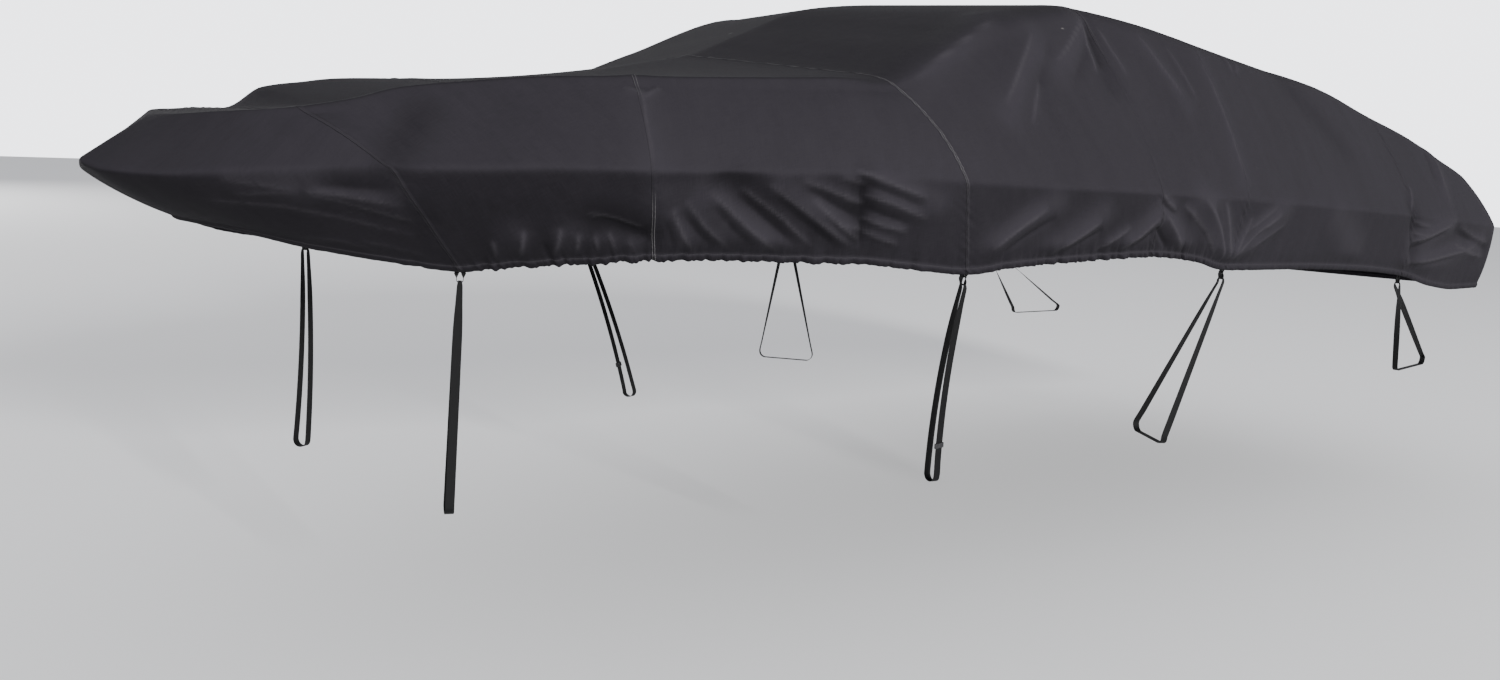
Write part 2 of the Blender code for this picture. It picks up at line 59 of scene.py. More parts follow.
ahead = Vector((np.sin(YAW) * np.cos(PITCH), np.cos(YAW) * np.cos(PITCH), -np.sin(PITCH)))
level_right = Vector((np.cos(YAW), -np.sin(YAW), 0.0))
level_up = level_right.cross(ahead)
right = level_right * np.cos(ROLL) + level_up * np.sin(ROLL)
upward = level_up * np.cos(ROLL) - level_right * np.sin(ROLL)
lens = bpy.data.cameras.new("view")
lens.sensor_width = SENSOR
lens.lens = FOCAL_PIXELS * SENSOR / IMAGE_PIXELS
camera = bpy.data.objects.new("view", lens)
turned = Matrix((right, upward, -ahead)).transposed().to_4x4()
camera.matrix_world = Matrix.Translation(SEEN_FROM) @ turned
bpy.context.scene.collection.objects.link(camera)
bpy.context.scene.camera = camera

AIR = (0.94, 0.95, 1.0, 1)
AIR_LIGHT = 0.75
BACKDROP = 3.5
air = bpy.data.worlds.new("studio_air")
air.use_nodes = True
soft_air = air.node_tree.nodes["Background"]
soft_air.inputs["Color"].default_value = AIR
soft_air.inputs["Strength"].default_value = AIR_LIGHT
backdrop = air.node_tree.nodes.new("ShaderNodeBackground")
backdrop.inputs["Color"].default_value = AIR
backdrop.inputs["Strength"].default_value = BACKDROP
either = air.node_tree.nodes.new("ShaderNodeMixShader")
seen_straight = air.node_tree.nodes.new("ShaderNodeLightPath")
air.node_tree.links.new(seen_straight.outputs["Is Camera Ray"], either.inputs[0])
air.node_tree.links.new(soft_air.outputs[0], either.inputs[1])
air.node_tree.links.new(backdrop.outputs[0], either.inputs[2])
air.node_tree.links.new(either.outputs[0], air.node_tree.nodes["World Output"].inputs[0])
bpy.context.scene.world = air

LAMPS = (
    # name, x, y, z, aimed at x, y, z, side length, watts
    ("port", -5.6, -26.6, 6.4, -0.8, -1.0, -0.7, 3.4, 11400.0),
    ("starboard", -6.6, 26.6, 1.2, -0.8, 1.0, -0.7, 3.4, 4200.0),
)
for name, x, y, z, aim_x, aim_y, aim_z, side_length, watts in LAMPS:
    glow = bpy.data.lights.new(name, "AREA")
    glow.size = side_length
    glow.energy = watts
    lamp = bpy.data.objects.new(name, glow)
    away = Vector((x - aim_x, y - aim_y, z - aim_z))
    turned = away.to_track_quat("Z", "Y").to_matrix().to_4x4()
    lamp.matrix_world = Matrix.Translation((x, y, z)) @ turned
    bpy.context.scene.collection.objects.link(lamp)

FLOOR_REACH = 45.0
FLOOR_PALE = (0.88, 0.88, 0.88, 1)
FLOOR_ROUGH = 0.9
ground = bmesh.new()
bmesh.ops.create_grid(ground, x_segments=4, y_segments=4, size=FLOOR_REACH)
bmesh.ops.translate(ground, verts=ground.verts, vec=(0, 0, -MOUNT_UP))
floor_mesh = bpy.data.meshes.new("floor")
ground.to_mesh(floor_mesh)
ground.free()
floor = bpy.data.objects.new("floor", floor_mesh)
bpy.context.scene.collection.objects.link(floor)
paint = bpy.data.materials.new("floor_paint")
paint.use_nodes = True
paint.node_tree.nodes["Principled BSDF"].inputs["Base Color"].default_value = FLOOR_PALE
paint.node_tree.nodes["Principled BSDF"].inputs["Roughness"].default_value = FLOOR_ROUGH
floor_mesh.materials.append(paint)

# ------------------------------------------------------------------------------ the cloth
# Seven panels of charcoal woven polyester, cut to shape and sewn edge to edge with flat-felled
# seams. Their lower edge is turned up and stitched into a casing, and elastic in it draws the hem
# in and puckers the skirt above. All of it is held up, stretched, by the load inside.
MOUNT_FROM_TABLES = np.array((0.70000666, 0.0, -MOUNT_UP))
# How far the shoulder is rounded, how tight its corner is, and how soft the crease is, by station.
ROUNDING = 0.13
TIGHT_STATIONS = (0.0, 0.20, 0.85, 1.05, 2.10, 2.50)
TIGHT_ROUNDING = (0.55, 0.55, 0.65, 0.80, 0.80, 0.0)
SOFT_STATIONS = (0.0, 0.90, 1.60)
SOFT_CREASE = (0.09, 0.07, 0.04)
BULGE_UP = 0.6
BULGE_OUT = 0.8
# Folds fade out towards the hem and the ridge. Starboard's are shifted aft and shallower.
HEM_LEVEL = 0.07
HEM_FADE = 0.25
RIDGE_FADE = 0.5
STARBOARD_SHIFT = 0.12
STARBOARD_SHARE = 0.75

# Half sections, bow to tail, with heights above the ground. y is the half width; lean is how much
# higher the starboard shoulder is. Hem and crease are on a row's first line.
COLUMNS = (
    "hem_x", "hem_y", "hem_z", "crease_x", "crease_y", "crease_z", "shoulder_x", "shoulder_y",
    "shoulder_z", "ridge_x", "ridge_z", "skirt_bulge", "side_bulge", "lean",
)
ROWS = {
    "stem": (-3.99, 0, 1.22, -4.25, 0, 1.372,
        -4.07, 0, 1.497, -3.88, 1.515, 0.025, 0, 0),
    "nose_a": (-3.96, 0.06, 1.214, -4.225, 0.08, 1.356,
        -4.06, 0.055, 1.498, -3.87, 1.516, 0.025, 0, 0),
    "nose_b": (-3.9, 0.16, 1.202, -4.13, 0.21, 1.352,
        -4.035, 0.135, 1.502, -3.85, 1.518, 0.025, 0, 0),
    "nose_c": (-3.78, 0.275, 1.17, -3.99, 0.35, 1.366,
        -3.995, 0.225, 1.51, -3.82, 1.52, 0.02, 0, 0),
    "nose_d": (-3.62, 0.39, 1.142, -3.85, 0.462, 1.38,
        -3.93, 0.315, 1.519, -3.78, 1.523, 0.015, 0, -0.005),
    "seam_1": (-3.44, 0.495, 1.118, -3.69, 0.572, 1.388,
        -3.85, 0.39, 1.532, -3.73, 1.527, 0.015, 0.015, -0.012),
    "step_a": (-3.38, 0.53, 1.125, -3.61, 0.62, 1.394,
        -3.71, 0.42, 1.562, -3.64, 1.533, 0.012, 0, -0.032),
    "step_b": (-3.33, 0.56, 1.131, -3.55, 0.655, 1.398,
        -3.59, 0.455, 1.6, -3.56, 1.54, 0.01, 0, -0.002),
    "fore_a": (-3.26, 0.598, 1.138, -3.47, 0.695, 1.402,
        -3.46, 0.52, 1.62, -3.45, 1.56, 0.01, 0, 0),
    "fore_b": (-3.13, 0.665, 1.15, -3.3, 0.775, 1.411,
        -3.28, 0.6, 1.645, -3.26, 1.59, 0.01, 0.005, 0),
    "seam_2": (-2.98, 0.735, 1.16, -3.095, 0.86, 1.413,
        -3.04, 0.69, 1.662, -3.04, 1.63, 0, 0.01, 0),
    "mid_a": (-2.78, 0.815, 1.165, -2.88, 0.935, 1.418,
        -2.84, 0.77, 1.673, -2.84, 1.675, 0, 0.012, 0),
    "mid_b": (-2.57, 0.89, 1.162, -2.67, 0.996, 1.423,
        -2.62, 0.84, 1.686, -2.62, 1.718, 0, 0.015, 0),
    "mid_c": (-2.37, 0.95, 1.158, -2.47, 1.046, 1.428,
        -2.42, 0.88, 1.7, -2.44, 1.755, 0, 0.02, 0),
    "seam_3": (-1.99, 1.038, 1.127, -2.11, 1.112, 1.416,
        -2.25, 0.895, 1.712, -2.29, 1.785, 0, 0.03, 0),
    "rise_a": (-1.8, 1.07, 1.146, -1.9, 1.142, 1.413,
        -1.93, 0.87, 1.84, -2.02, 1.89, 0, 0.03, -0.012),
    "brow": (-1.55, 1.106, 1.162, -1.62, 1.178, 1.41,
        -1.5, 0.82, 1.985, -1.72, 2, 0, 0.025, 0.01),
    "seam_4": (-1.13, 1.15, 1.176, -1.19, 1.211, 1.403,
        -1.18, 0.81, 2.032, -1.2, 2.065, 0, 0.02, -0.012),
    "peak": (-0.86, 1.163, 1.156, -0.9, 1.224, 1.396,
        -0.88, 0.87, 2.006, -0.86, 2.08, 0, 0.018, -0.018),
    "seam_5": (-0.66, 1.17, 1.122, -0.64, 1.23, 1.389,
        -0.6, 0.91, 1.968, -0.56, 2.075, 0, 0.015, -0.01),
    "aft_a": (-0.1, 1.178, 1.112, -0.1, 1.236, 1.371,
        -0.05, 0.92, 1.908, 0, 2.03, 0, 0.012, 0),
    "aft_b": (0.45, 1.176, 1.092, 0.45, 1.232, 1.35,
        0.48, 0.925, 1.862, 0.45, 1.97, 0, 0.01, 0),
    "seam_6": (0.9, 1.168, 1.057, 0.86, 1.223, 1.333,
        0.9, 0.945, 1.775, 0.85, 1.9, 0, 0.01, 0),
    "stern_a": (1.25, 1.158, 1, 1.25, 1.215, 1.315,
        1.25, 0.985, 1.695, 1.15, 1.83, 0, 0.01, 0),
    "stern_b": (1.6, 1.14, 0.97, 1.6, 1.203, 1.297,
        1.56, 1.01, 1.605, 1.4, 1.765, 0, 0.01, 0),
    "corner_a": (1.88, 1.135, 0.968, 1.86, 1.188, 1.282,
        1.82, 1.03, 1.525, 1.56, 1.705, 0.01, 0.01, 0),
    "corner_b": (1.99, 1.05, 0.965, 1.99, 1.145, 1.272,
        1.95, 0.995, 1.455, 1.64, 1.672, 0.015, 0.01, 0),
    "corner_c": (2.025, 0.88, 0.96, 2.06, 1.03, 1.266,
        2, 0.88, 1.438, 1.69, 1.652, 0.01, 0.01, 0),
    "tail_a": (2.035, 0.5, 0.955, 2.09, 0.6, 1.262,
        2.025, 0.5, 1.448, 1.72, 1.64, 0, 0.01, 0),
    "tail": (2.04, 0, 0.95, 2.1, 0, 1.26,
        2.03, 0, 1.458, 1.735, 1.635, 0, 0.01, 0),
}
ROW_NAMES = list(ROWS)
TABLE = np.array([ROWS[name] for name in ROW_NAMES])
LAST = len(ROW_NAMES) - 1

# Broad folds. station is metres along the crease from the bow; level is 0 at the hem, 1 at the
# crease, 2 at the shoulder and 3 at the ridge; depth below 0 is a trough.
FOLDS = (
    # station_0, level_0, station_1, level_1, half width, depth
    (0.42, 0.85, 0.58, 0.80, 0.050, 0.006),
    (0.58, 0.80, 0.76, 0.65, 0.050, 0.006),
    (0.40, 0.62, 0.80, 0.52, 0.060, -0.005),
    (0.84, 1.10, 0.98, 1.70, 0.060, -0.010),
    (1.31, 0.45, 1.47, 0.25, 0.050, -0.012),
    (1.04, 0.35, 1.02, 0.05, 0.045, 0.008),
    (1.22, 0.32, 1.18, 0.05, 0.045, 0.008),
    (1.49, 1.84, 1.49, 1.10, 0.060, 0.007),
    (1.51, 0.70, 1.58, 0.05, 0.050, 0.010),
    (1.62, 0.72, 1.88, 0.05, 0.055, 0.012),
    (1.70, 0.90, 2.04, 0.15, 0.050, -0.008),
    (1.86, 0.85, 2.12, 0.20, 0.050, 0.010),
    (2.12, 1.00, 2.13, 0.12, 0.045, -0.012),
    (2.10, 0.98, 2.38, 0.70, 0.050, 0.009),
    (2.62, 0.28, 2.88, 0.72, 0.055, 0.011),
    (2.88, 0.15, 3.12, 0.58, 0.055, 0.010),
    (3.23, 0.15, 3.42, 0.62, 0.050, 0.010),
    (3.45, 0.68, 3.62, 0.15, 0.050, 0.010),
    (3.67, 0.95, 3.96, 0.10, 0.060, 0.012),
    (4.25, 0.82, 3.99, 0.12, 0.060, 0.011),
    (4.70, 0.75, 4.95, 0.30, 0.080, 0.008),
    (5.46, 1.04, 5.56, 0.15, 0.055, -0.010),
    (5.90, 0.90, 5.48, 0.55, 0.060, 0.012),
    (6.33, 0.65, 5.48, 0.20, 0.060, 0.012),
    (6.44, 0.60, 5.97, 0.80, 0.050, -0.003),
    (6.05, 1.78, 5.94, 1.30, 0.060, 0.008),
    (2.90, 2.10, 2.56, 1.85, 0.070, 0.008),
    (2.98, 1.87, 2.76, 1.45, 0.060, 0.010),
    (3.38, 1.95, 3.03, 1.66, 0.070, 0.010),
    (3.42, 1.94, 3.37, 1.55, 0.060, -0.009),
    (3.66, 1.86, 3.76, 1.52, 0.055, 0.007),
    (3.97, 1.86, 3.97, 1.13, 0.055, 0.007),
    (4.66, 1.90, 4.95, 1.50, 0.090, -0.006),
)

# Sharp creases that run from the seams and the tie points, as they show in the weave.
CREASES = (
    # station_0, level_0, station_1, level_1, station_2, level_2, half width, depth
    # nose: a small star below the crease, and a pull towards the hem
    (0.40, 0.92, 0.49, 0.86, 0.58, 0.80, 0.016, 0.0039),
    (0.58, 0.80, 0.66, 0.76, 0.80, 0.67, 0.014, 0.0059),
    (0.58, 0.78, 0.68, 0.64, 0.80, 0.50, 0.018, 0.0049),
    (0.60, 0.72, 0.69, 0.60, 0.78, 0.46, 0.014, -0.0039),
    (0.60, 0.84, 0.70, 0.82, 0.80, 0.80, 0.014, -0.0049),
    (0.40, 0.72, 0.49, 0.76, 0.58, 0.79, 0.016, 0.0039),
    (0.30, 0.60, 0.50, 0.58, 0.78, 0.36, 0.022, 0.0039),
    (0.46, 0.16, 0.56, 0.20, 0.66, 0.12, 0.012, 0.0039),
    (0.62, 0.24, 0.70, 0.20, 0.80, 0.10, 0.012, 0.0039),
    # fore skirt: short gathers above the hem
    (0.98, 0.30, 0.97, 0.18, 0.95, 0.02, 0.011, 0.0075),
    (1.08, 0.40, 1.05, 0.22, 1.02, 0.03, 0.013, 0.0105),
    (1.13, 0.26, 1.11, 0.14, 1.09, 0.02, 0.010, -0.0075),
    (1.19, 0.40, 1.16, 0.22, 1.12, 0.03, 0.013, 0.0105),
    (1.24, 0.34, 1.22, 0.17, 1.20, 0.02, 0.011, 0.009),
    (1.29, 0.30, 1.29, 0.16, 1.28, 0.02, 0.011, 0.009),
    (1.34, 0.32, 1.35, 0.16, 1.37, 0.02, 0.011, 0.009),
    (1.41, 0.24, 1.42, 0.12, 1.43, 0.02, 0.010, 0.0075),
    (1.30, 0.47, 1.38, 0.38, 1.47, 0.25, 0.024, -0.015),
    (1.28, 0.54, 1.38, 0.46, 1.46, 0.36, 0.014, 0.006),
    # mid skirt: long diagonals down to the hem
    (1.54, 0.62, 1.57, 0.36, 1.62, 0.05, 0.015, 0.008),
    (1.52, 0.50, 1.54, 0.30, 1.56, 0.05, 0.012, -0.007),
    (1.58, 0.72, 1.64, 0.42, 1.73, 0.10, 0.017, 0.008),
    (1.57, 0.60, 1.62, 0.34, 1.68, 0.10, 0.013, -0.007),
    (1.65, 0.80, 1.76, 0.44, 1.88, 0.08, 0.018, 0.010),
    (1.66, 0.66, 1.72, 0.40, 1.80, 0.14, 0.016, -0.010),
    (1.74, 0.84, 1.86, 0.54, 1.98, 0.16, 0.015, 0.007),
    (1.74, 0.74, 1.82, 0.48, 1.93, 0.16, 0.014, -0.008),
    (1.82, 0.90, 1.95, 0.58, 2.10, 0.20, 0.018, 0.009),
    (1.84, 0.78, 1.94, 0.48, 2.05, 0.20, 0.014, -0.009),
    (1.92, 0.94, 2.02, 0.82, 2.14, 0.66, 0.015, 0.007),
    (1.94, 0.84, 2.03, 0.66, 2.13, 0.48, 0.014, -0.008),
    (1.96, 0.74, 2.04, 0.50, 2.13, 0.26, 0.016, 0.007),
    (2.00, 0.54, 2.06, 0.36, 2.13, 0.20, 0.012, -0.005),
    # the dart in the mid panel, and what its stitching pulls up
    (2.12, 1.02, 2.13, 0.60, 2.13, 0.13, 0.007, -0.0066),
    (2.10, 1.03, 2.20, 0.94, 2.36, 0.80, 0.014, 0.0088),
    (2.13, 0.90, 2.22, 0.82, 2.34, 0.70, 0.012, -0.0066),
    (2.13, 0.78, 2.22, 0.72, 2.36, 0.58, 0.014, 0.0077),
    (2.13, 0.64, 2.20, 0.57, 2.30, 0.50, 0.011, -0.0055),
    (2.13, 0.52, 2.20, 0.46, 2.29, 0.42, 0.012, 0.0066),
    (2.13, 0.38, 2.19, 0.32, 2.26, 0.26, 0.010, 0.0055),
    (2.05, 0.96, 2.10, 0.92, 2.14, 0.88, 0.008, 0.0044),
    (2.06, 0.74, 2.10, 0.70, 2.14, 0.66, 0.008, 0.0044),
    (2.06, 0.46, 2.10, 0.42, 2.14, 0.38, 0.008, 0.0044),
    # rise skirt: soft pulls down towards both ties
    (2.60, 0.26, 2.72, 0.50, 2.85, 0.74, 0.018, 0.0096),
    (2.66, 0.20, 2.78, 0.42, 2.90, 0.62, 0.014, -0.008),
    (2.88, 0.12, 3.00, 0.34, 3.12, 0.58, 0.017, 0.0096),
    (2.93, 0.10, 3.05, 0.30, 3.14, 0.46, 0.013, -0.008),
    (3.10, 0.10, 3.19, 0.28, 3.28, 0.48, 0.014, 0.008),
    (3.23, 0.12, 3.33, 0.36, 3.42, 0.64, 0.017, 0.0096),
    (3.28, 0.10, 3.37, 0.30, 3.44, 0.48, 0.012, -0.008),
    (3.45, 0.69, 3.53, 0.42, 3.60, 0.12, 0.015, 0.0128),
    (3.42, 0.50, 3.47, 0.30, 3.52, 0.10, 0.011, -0.0096),
    (3.43, 0.98, 3.46, 0.86, 3.52, 0.74, 0.009, 0.0064),
    (3.42, 0.84, 3.46, 0.76, 3.52, 0.66, 0.009, -0.0064),
    # peak skirt: a fan of folds down to the third tie
    (3.56, 0.84, 3.72, 0.50, 3.88, 0.10, 0.014, 0.0092),
    (3.62, 0.70, 3.74, 0.42, 3.86, 0.12, 0.011, -0.008),
    (3.67, 0.97, 3.82, 0.56, 3.95, 0.08, 0.017, 0.0138),
    (3.74, 0.90, 3.85, 0.52, 3.95, 0.14, 0.012, -0.0103),
    (3.82, 0.94, 3.90, 0.56, 3.97, 0.14, 0.013, 0.008),
    (4.24, 0.84, 4.11, 0.56, 3.98, 0.12, 0.016, 0.0092),
    (4.20, 0.94, 4.12, 0.74, 4.02, 0.52, 0.011, 0.0046),
    (4.16, 0.66, 4.08, 0.44, 4.00, 0.20, 0.012, -0.0069),
    (4.05, 0.76, 4.02, 0.46, 3.99, 0.16, 0.011, 0.0057),
    (4.30, 0.70, 4.20, 0.52, 4.08, 0.30, 0.012, 0.0046),
    # stern skirt: pulls from the corner to the fourth tie
    (5.90, 0.94, 5.68, 0.74, 5.48, 0.56, 0.017, 0.0108),
    (5.86, 0.82, 5.66, 0.62, 5.48, 0.44, 0.013, -0.0084),
    (6.33, 0.69, 5.90, 0.46, 5.47, 0.20, 0.018, 0.0108),
    (6.10, 0.50, 5.80, 0.34, 5.50, 0.16, 0.013, -0.0072),
    (6.49, 0.60, 6.22, 0.72, 5.97, 0.84, 0.017, -0.0050),
    (6.46, 0.72, 6.24, 0.80, 6.02, 0.92, 0.012, 0.006),
    (6.44, 0.50, 6.22, 0.56, 6.00, 0.66, 0.013, 0.0072),
    (5.45, 1.03, 5.47, 0.60, 5.57, 0.14, 0.010, -0.0036),
    (5.48, 0.90, 5.56, 0.86, 5.66, 0.86, 0.009, 0.0048),
    (5.48, 0.72, 5.57, 0.70, 5.68, 0.74, 0.009, 0.0048),
    # flank and roof: broad soft folds drawn down from the peak
    (2.90, 2.02, 2.74, 1.96, 2.58, 1.90, 0.022, 0.0081),
    (2.98, 1.86, 2.87, 1.68, 2.76, 1.48, 0.022, 0.0108),
    (3.06, 1.82, 2.98, 1.66, 2.90, 1.50, 0.016, -0.0068),
    (3.40, 1.92, 3.22, 1.80, 3.03, 1.66, 0.024, 0.0108),
    (3.36, 1.80, 3.22, 1.66, 3.10, 1.54, 0.018, -0.0068),
    (2.93, 1.58, 2.88, 1.46, 2.84, 1.34, 0.014, 0.0068),
    (3.42, 1.92, 3.40, 1.78, 3.37, 1.62, 0.015, -0.0081),
    (3.36, 1.90, 3.33, 1.76, 3.30, 1.60, 0.014, 0.0081),
    (3.48, 1.90, 3.48, 1.76, 3.50, 1.60, 0.014, 0.0068),
    (3.66, 1.90, 3.70, 1.70, 3.75, 1.55, 0.014, 0.0068),
    (3.80, 1.88, 3.82, 1.72, 3.84, 1.56, 0.012, 0.0054),
    (3.97, 1.84, 3.97, 1.50, 3.97, 1.13, 0.012, 0.0054),
    (4.22, 1.98, 4.21, 1.92, 4.21, 1.84, 0.010, 0.0068),
    (4.30, 1.96, 4.27, 1.90, 4.24, 1.86, 0.010, 0.0054),
    (5.52, 1.28, 5.49, 1.16, 5.46, 1.04, 0.014, 0.0081),
    (6.05, 1.80, 6.00, 1.58, 5.94, 1.34, 0.014, 0.0081),
    (5.98, 1.86, 5.93, 1.64, 5.88, 1.42, 0.012, -0.0054),
    (1.50, 1.84, 1.49, 1.50, 1.49, 1.04, 0.014, 0.0054),
    (1.45, 1.86, 1.48, 1.80, 1.50, 1.72, 0.010, 0.0054),
    (1.56, 1.86, 1.53, 1.80, 1.50, 1.72, 0.010, 0.0054),
)
FOLD_REACH = 3.2
CREASE_REACH = 6
CREASE_TIP = 0.25
CREASE_FOOT = 0.05
CREST_LINE = 0.006
FULL_CREST = 0.008

# The casing, and how the elastic puckers the cloth: wave along the hem, how high it climbs, depth.
CASING = 0.024
CASING_DEEP = 0.0060
CASING_SWELL = 0.0024
CASING_DIP = 0.0016
CASING_DIP_WIDE = 0.003
CASING_TUCK = 0.0020
PUCKERS = (
    # wave length, climbs, depth, wander
    (0.024, 0.020, 0.0016, 0.9),
    (0.052, 0.034, 0.0028, 1.4),
    (0.118, 0.062, 0.0028, 1.9),
)
# How strongly the elastic has drawn the hem up, by station.
DRAWN_UP = (
    (0.0, 0.05), (0.60, 0.15), (0.80, 0.45), (1.00, 1.10), (1.50, 1.20), (2.00, 1.10),
    (2.35, 0.70), (2.50, 0.30), (2.75, 0.60), (3.00, 1.00), (3.60, 1.20), (3.90, 0.90),
    (4.05, 0.50), (4.30, 0.25), (5.20, 0.12), (5.60, 0.30), (5.90, 0.20), (6.40, 0.15),
    (6.80, 0.30), (7.80, 0.40),
)
TAB_CLEAR = 0.030
TAB_HOLD = 0.04
LAP_WIDE = 0.0125
LAP_STEP = 0.0015
LAP_FALL = 0.002
SEAM_PUCKER_REACH = 0.030
SEAM_PUCKER_WAVE = 0.034
SEAM_PUCKER_WANDER = 1.2
SEAMS = {
    # row: how deep its puckers are, then how proud its lap stands at each level
    "seam_1": (0.0008, (0.0, 0.0013), (3.0, 0.0013)),
    "seam_2": (0.0007, (0.0, 0.0015), (0.9, 0.0012), (1.05, 0.0001), (1.7, 0.0001), (1.9, 0.0010)),
    "seam_3": (0.0013, (0.0, 0.0014), (3.0, 0.0011)),
    "seam_4": (0.0012, (0.0, 0.0009), (1.0, 0.0008), (1.2, 0.0002), (1.65, 0.0002), (1.85, 0.0014)),
    "seam_5": (0.0013, (0.0, 0.0005), (3.0, 0.0005)),
    "seam_6": (0.0014, (0.0, 0.0003), (3.0, 0.0003)),
}


def unit(vectors):
    return vectors / np.maximum(np.linalg.norm(vectors, axis=-1, keepdims=True), 1e-12)


def sample(values, at):
    """Columns of values at fractional row numbers, by a monotone cubic: no section overshoots."""
    step = np.diff(values, axis=0)
    same = step[1:] * step[:-1] > 0
    safe = np.where(same, step[1:] + step[:-1], 1.0)
    inner = np.where(same, 2 * step[1:] * step[:-1] / safe, 0.0)
    slope = np.concatenate([step[:1], inner, step[-1:]])
    k = np.clip(np.floor(at).astype(int), 0, len(values) - 2)
    u = (at - k)[..., None]
    blend = u * u * (3 - 2 * u)
    bend = slope[k] * u * (1 - u) ** 2 - slope[k + 1] * u * u * (1 - u)
    return values[k] * (1 - blend) + values[k + 1] * blend + bend


every_row = np.linspace(0, LAST, 1200)
crease_run = np.linalg.norm(np.diff(sample(TABLE[:, 3:6], every_row), axis=0), axis=1)
STATION = np.concatenate([[0.0], np.cumsum(crease_run)])
SEAM_STATIONS = {name: np.interp(ROW_NAMES.index(name), every_row, STATION) for name in ROW_NAMES}


def crease_plan(at):
    """Plan points of the crease. Past either end the rows run on round the other side."""
    beyond = (at < 0) | (at > LAST)
    inside = LAST - np.abs(LAST - np.abs(at))
    turn = np.stack([np.ones_like(at), np.where(beyond, -1.0, 1.0)], axis=-1)
    return sample(TABLE[:, 3:5], inside) * turn


def drawn(at, level, side):
    """Points of the cut shape at rows and levels, one pair each, in port space."""
    values = sample(TABLE, at)
    row = {name: values[..., k] for k, name in enumerate(COLUMNS)}
    lean = row["lean"] if side > 0 else 0.0

    def point(x, y, z):
        return np.stack([x, -y, z + 0 * x], axis=-1)

    hem = point(row["hem_x"], row["hem_y"], row["hem_z"])
    crease = point(row["crease_x"], row["crease_y"], row["crease_z"])
    shoulder = point(row["shoulder_x"], row["shoulder_y"], row["shoulder_z"] + lean)
    ridge = point(row["ridge_x"], 0 * row["ridge_x"], row["ridge_z"])
    station = np.interp(at, every_row, STATION)
    tight = np.interp(station, TIGHT_STATIONS, TIGHT_ROUNDING)[..., None]
    low = shoulder + (crease - shoulder) * ROUNDING
    high = shoulder + (ridge - shoulder) * ROUNDING
    run = crease_plan(at + 0.01) - crease_plan(at - 0.01)
    out = unit(np.stack([-run[..., 1], -run[..., 0], 0 * run[..., 0]], axis=-1))
    level = level[..., None]

    def sag(share, depth):
        return depth[..., None] * 4 * share * (1 - share)

    u = np.clip(level, 0, 1)
    v = np.clip((level - 1) / (1 - ROUNDING), 0, 1)
    w = np.clip((level - 2 + ROUNDING) / (2 * ROUNDING), 0, 1)
    r = np.clip((level - 2 - ROUNDING) / (1 - ROUNDING), 0, 1)
    skirt = hem + (crease - hem) * u + out * sag(u, row["skirt_bulge"])
    flank_way = out * BULGE_OUT + np.array((0, 0, BULGE_UP))
    flank = crease + (low - crease) * v + flank_way * sag(v, row["side_bulge"])
    # The crease is a soft bend, because the cloth runs over a rounded edge there.
    soft = np.interp(station, SOFT_STATIONS, SOFT_CREASE)[..., None]
    below = hem + (crease - hem) * (1 - soft) + out * sag(1 - soft, row["skirt_bulge"])
    share = soft / (1 - ROUNDING)
    over = crease + (low - crease) * share + flank_way * sag(share, row["side_bulge"])
    bent = np.clip((level - 1 + soft) / (2 * soft), 0, 1)
    bend = (1 - bent) ** 2 * below + 2 * bent * (1 - bent) * crease + bent * bent * over
    # A tight corner keeps its straight runs nearly up to the edge.
    low_in = low + (shoulder - low) * np.clip(w / 0.5, 0, 1)
    high_in = shoulder + (high - shoulder) * np.clip((w - 0.5) / 0.5, 0, 1)
    sharp = np.where(w < 0.5, low_in, high_in)
    corner = (1 - w) ** 2 * low + 2 * w * (1 - w) * shoulder + w * w * high
    corner = corner + (sharp - corner) * tight
    roof = high + (ridge - high) * r
    above = np.where(level < 2 + ROUNDING, corner, roof)
    side_face = np.where(np.abs(level - 1) < soft, bend, np.where(level < 1, skirt, flank))
    return np.where(level < 2 - ROUNDING, side_face, above)


def row_at(station):
    return np.interp(station, STATION, every_row)


def near_path(points, path, reach):
    """For the points within reach of a path: which they are, how far off, and how far along."""
    low, high = path.min(axis=0) - reach, path.max(axis=0) + reach
    close = np.nonzero(((points > low) & (points < high)).all(axis=-1))[0]
    some = points[close]
    nearest = np.full(len(close), np.inf)
    along = np.zeros(len(close))
    for k, (start, end) in enumerate(zip(path[:-1], path[1:])):
        run = end - start
        share = np.clip((some - start) @ run / (run @ run), 0, 1)
        gap = np.linalg.norm(some - start - share[:, None] * run, axis=-1)
        along = np.where(gap < nearest, (k + share) / (len(path) - 1), along)
        nearest = np.minimum(nearest, gap)
    return close, nearest, along


def laid(stations, levels, side):
    """A path laid on the surface, through stations and levels."""
    shift = STARBOARD_SHIFT if side > 0 else 0.0
    return drawn(row_at(np.array(stations) + shift), np.array(levels), side)


def fold_height(points, side):
    """How far the broad folds lift each point: a bell across each path."""
    height = np.zeros(len(points))
    for station_0, level_0, station_1, level_1, half_width, depth in FOLDS:
        path = laid(np.linspace(station_0, station_1, 5), np.linspace(level_0, level_1, 5), side)
        close, gap, _ = near_path(points, path, FOLD_REACH * half_width)
        height[close] += depth * np.exp(-((gap / half_width) ** 2))
    return height * (STARBOARD_SHARE if side > 0 else 1.0)


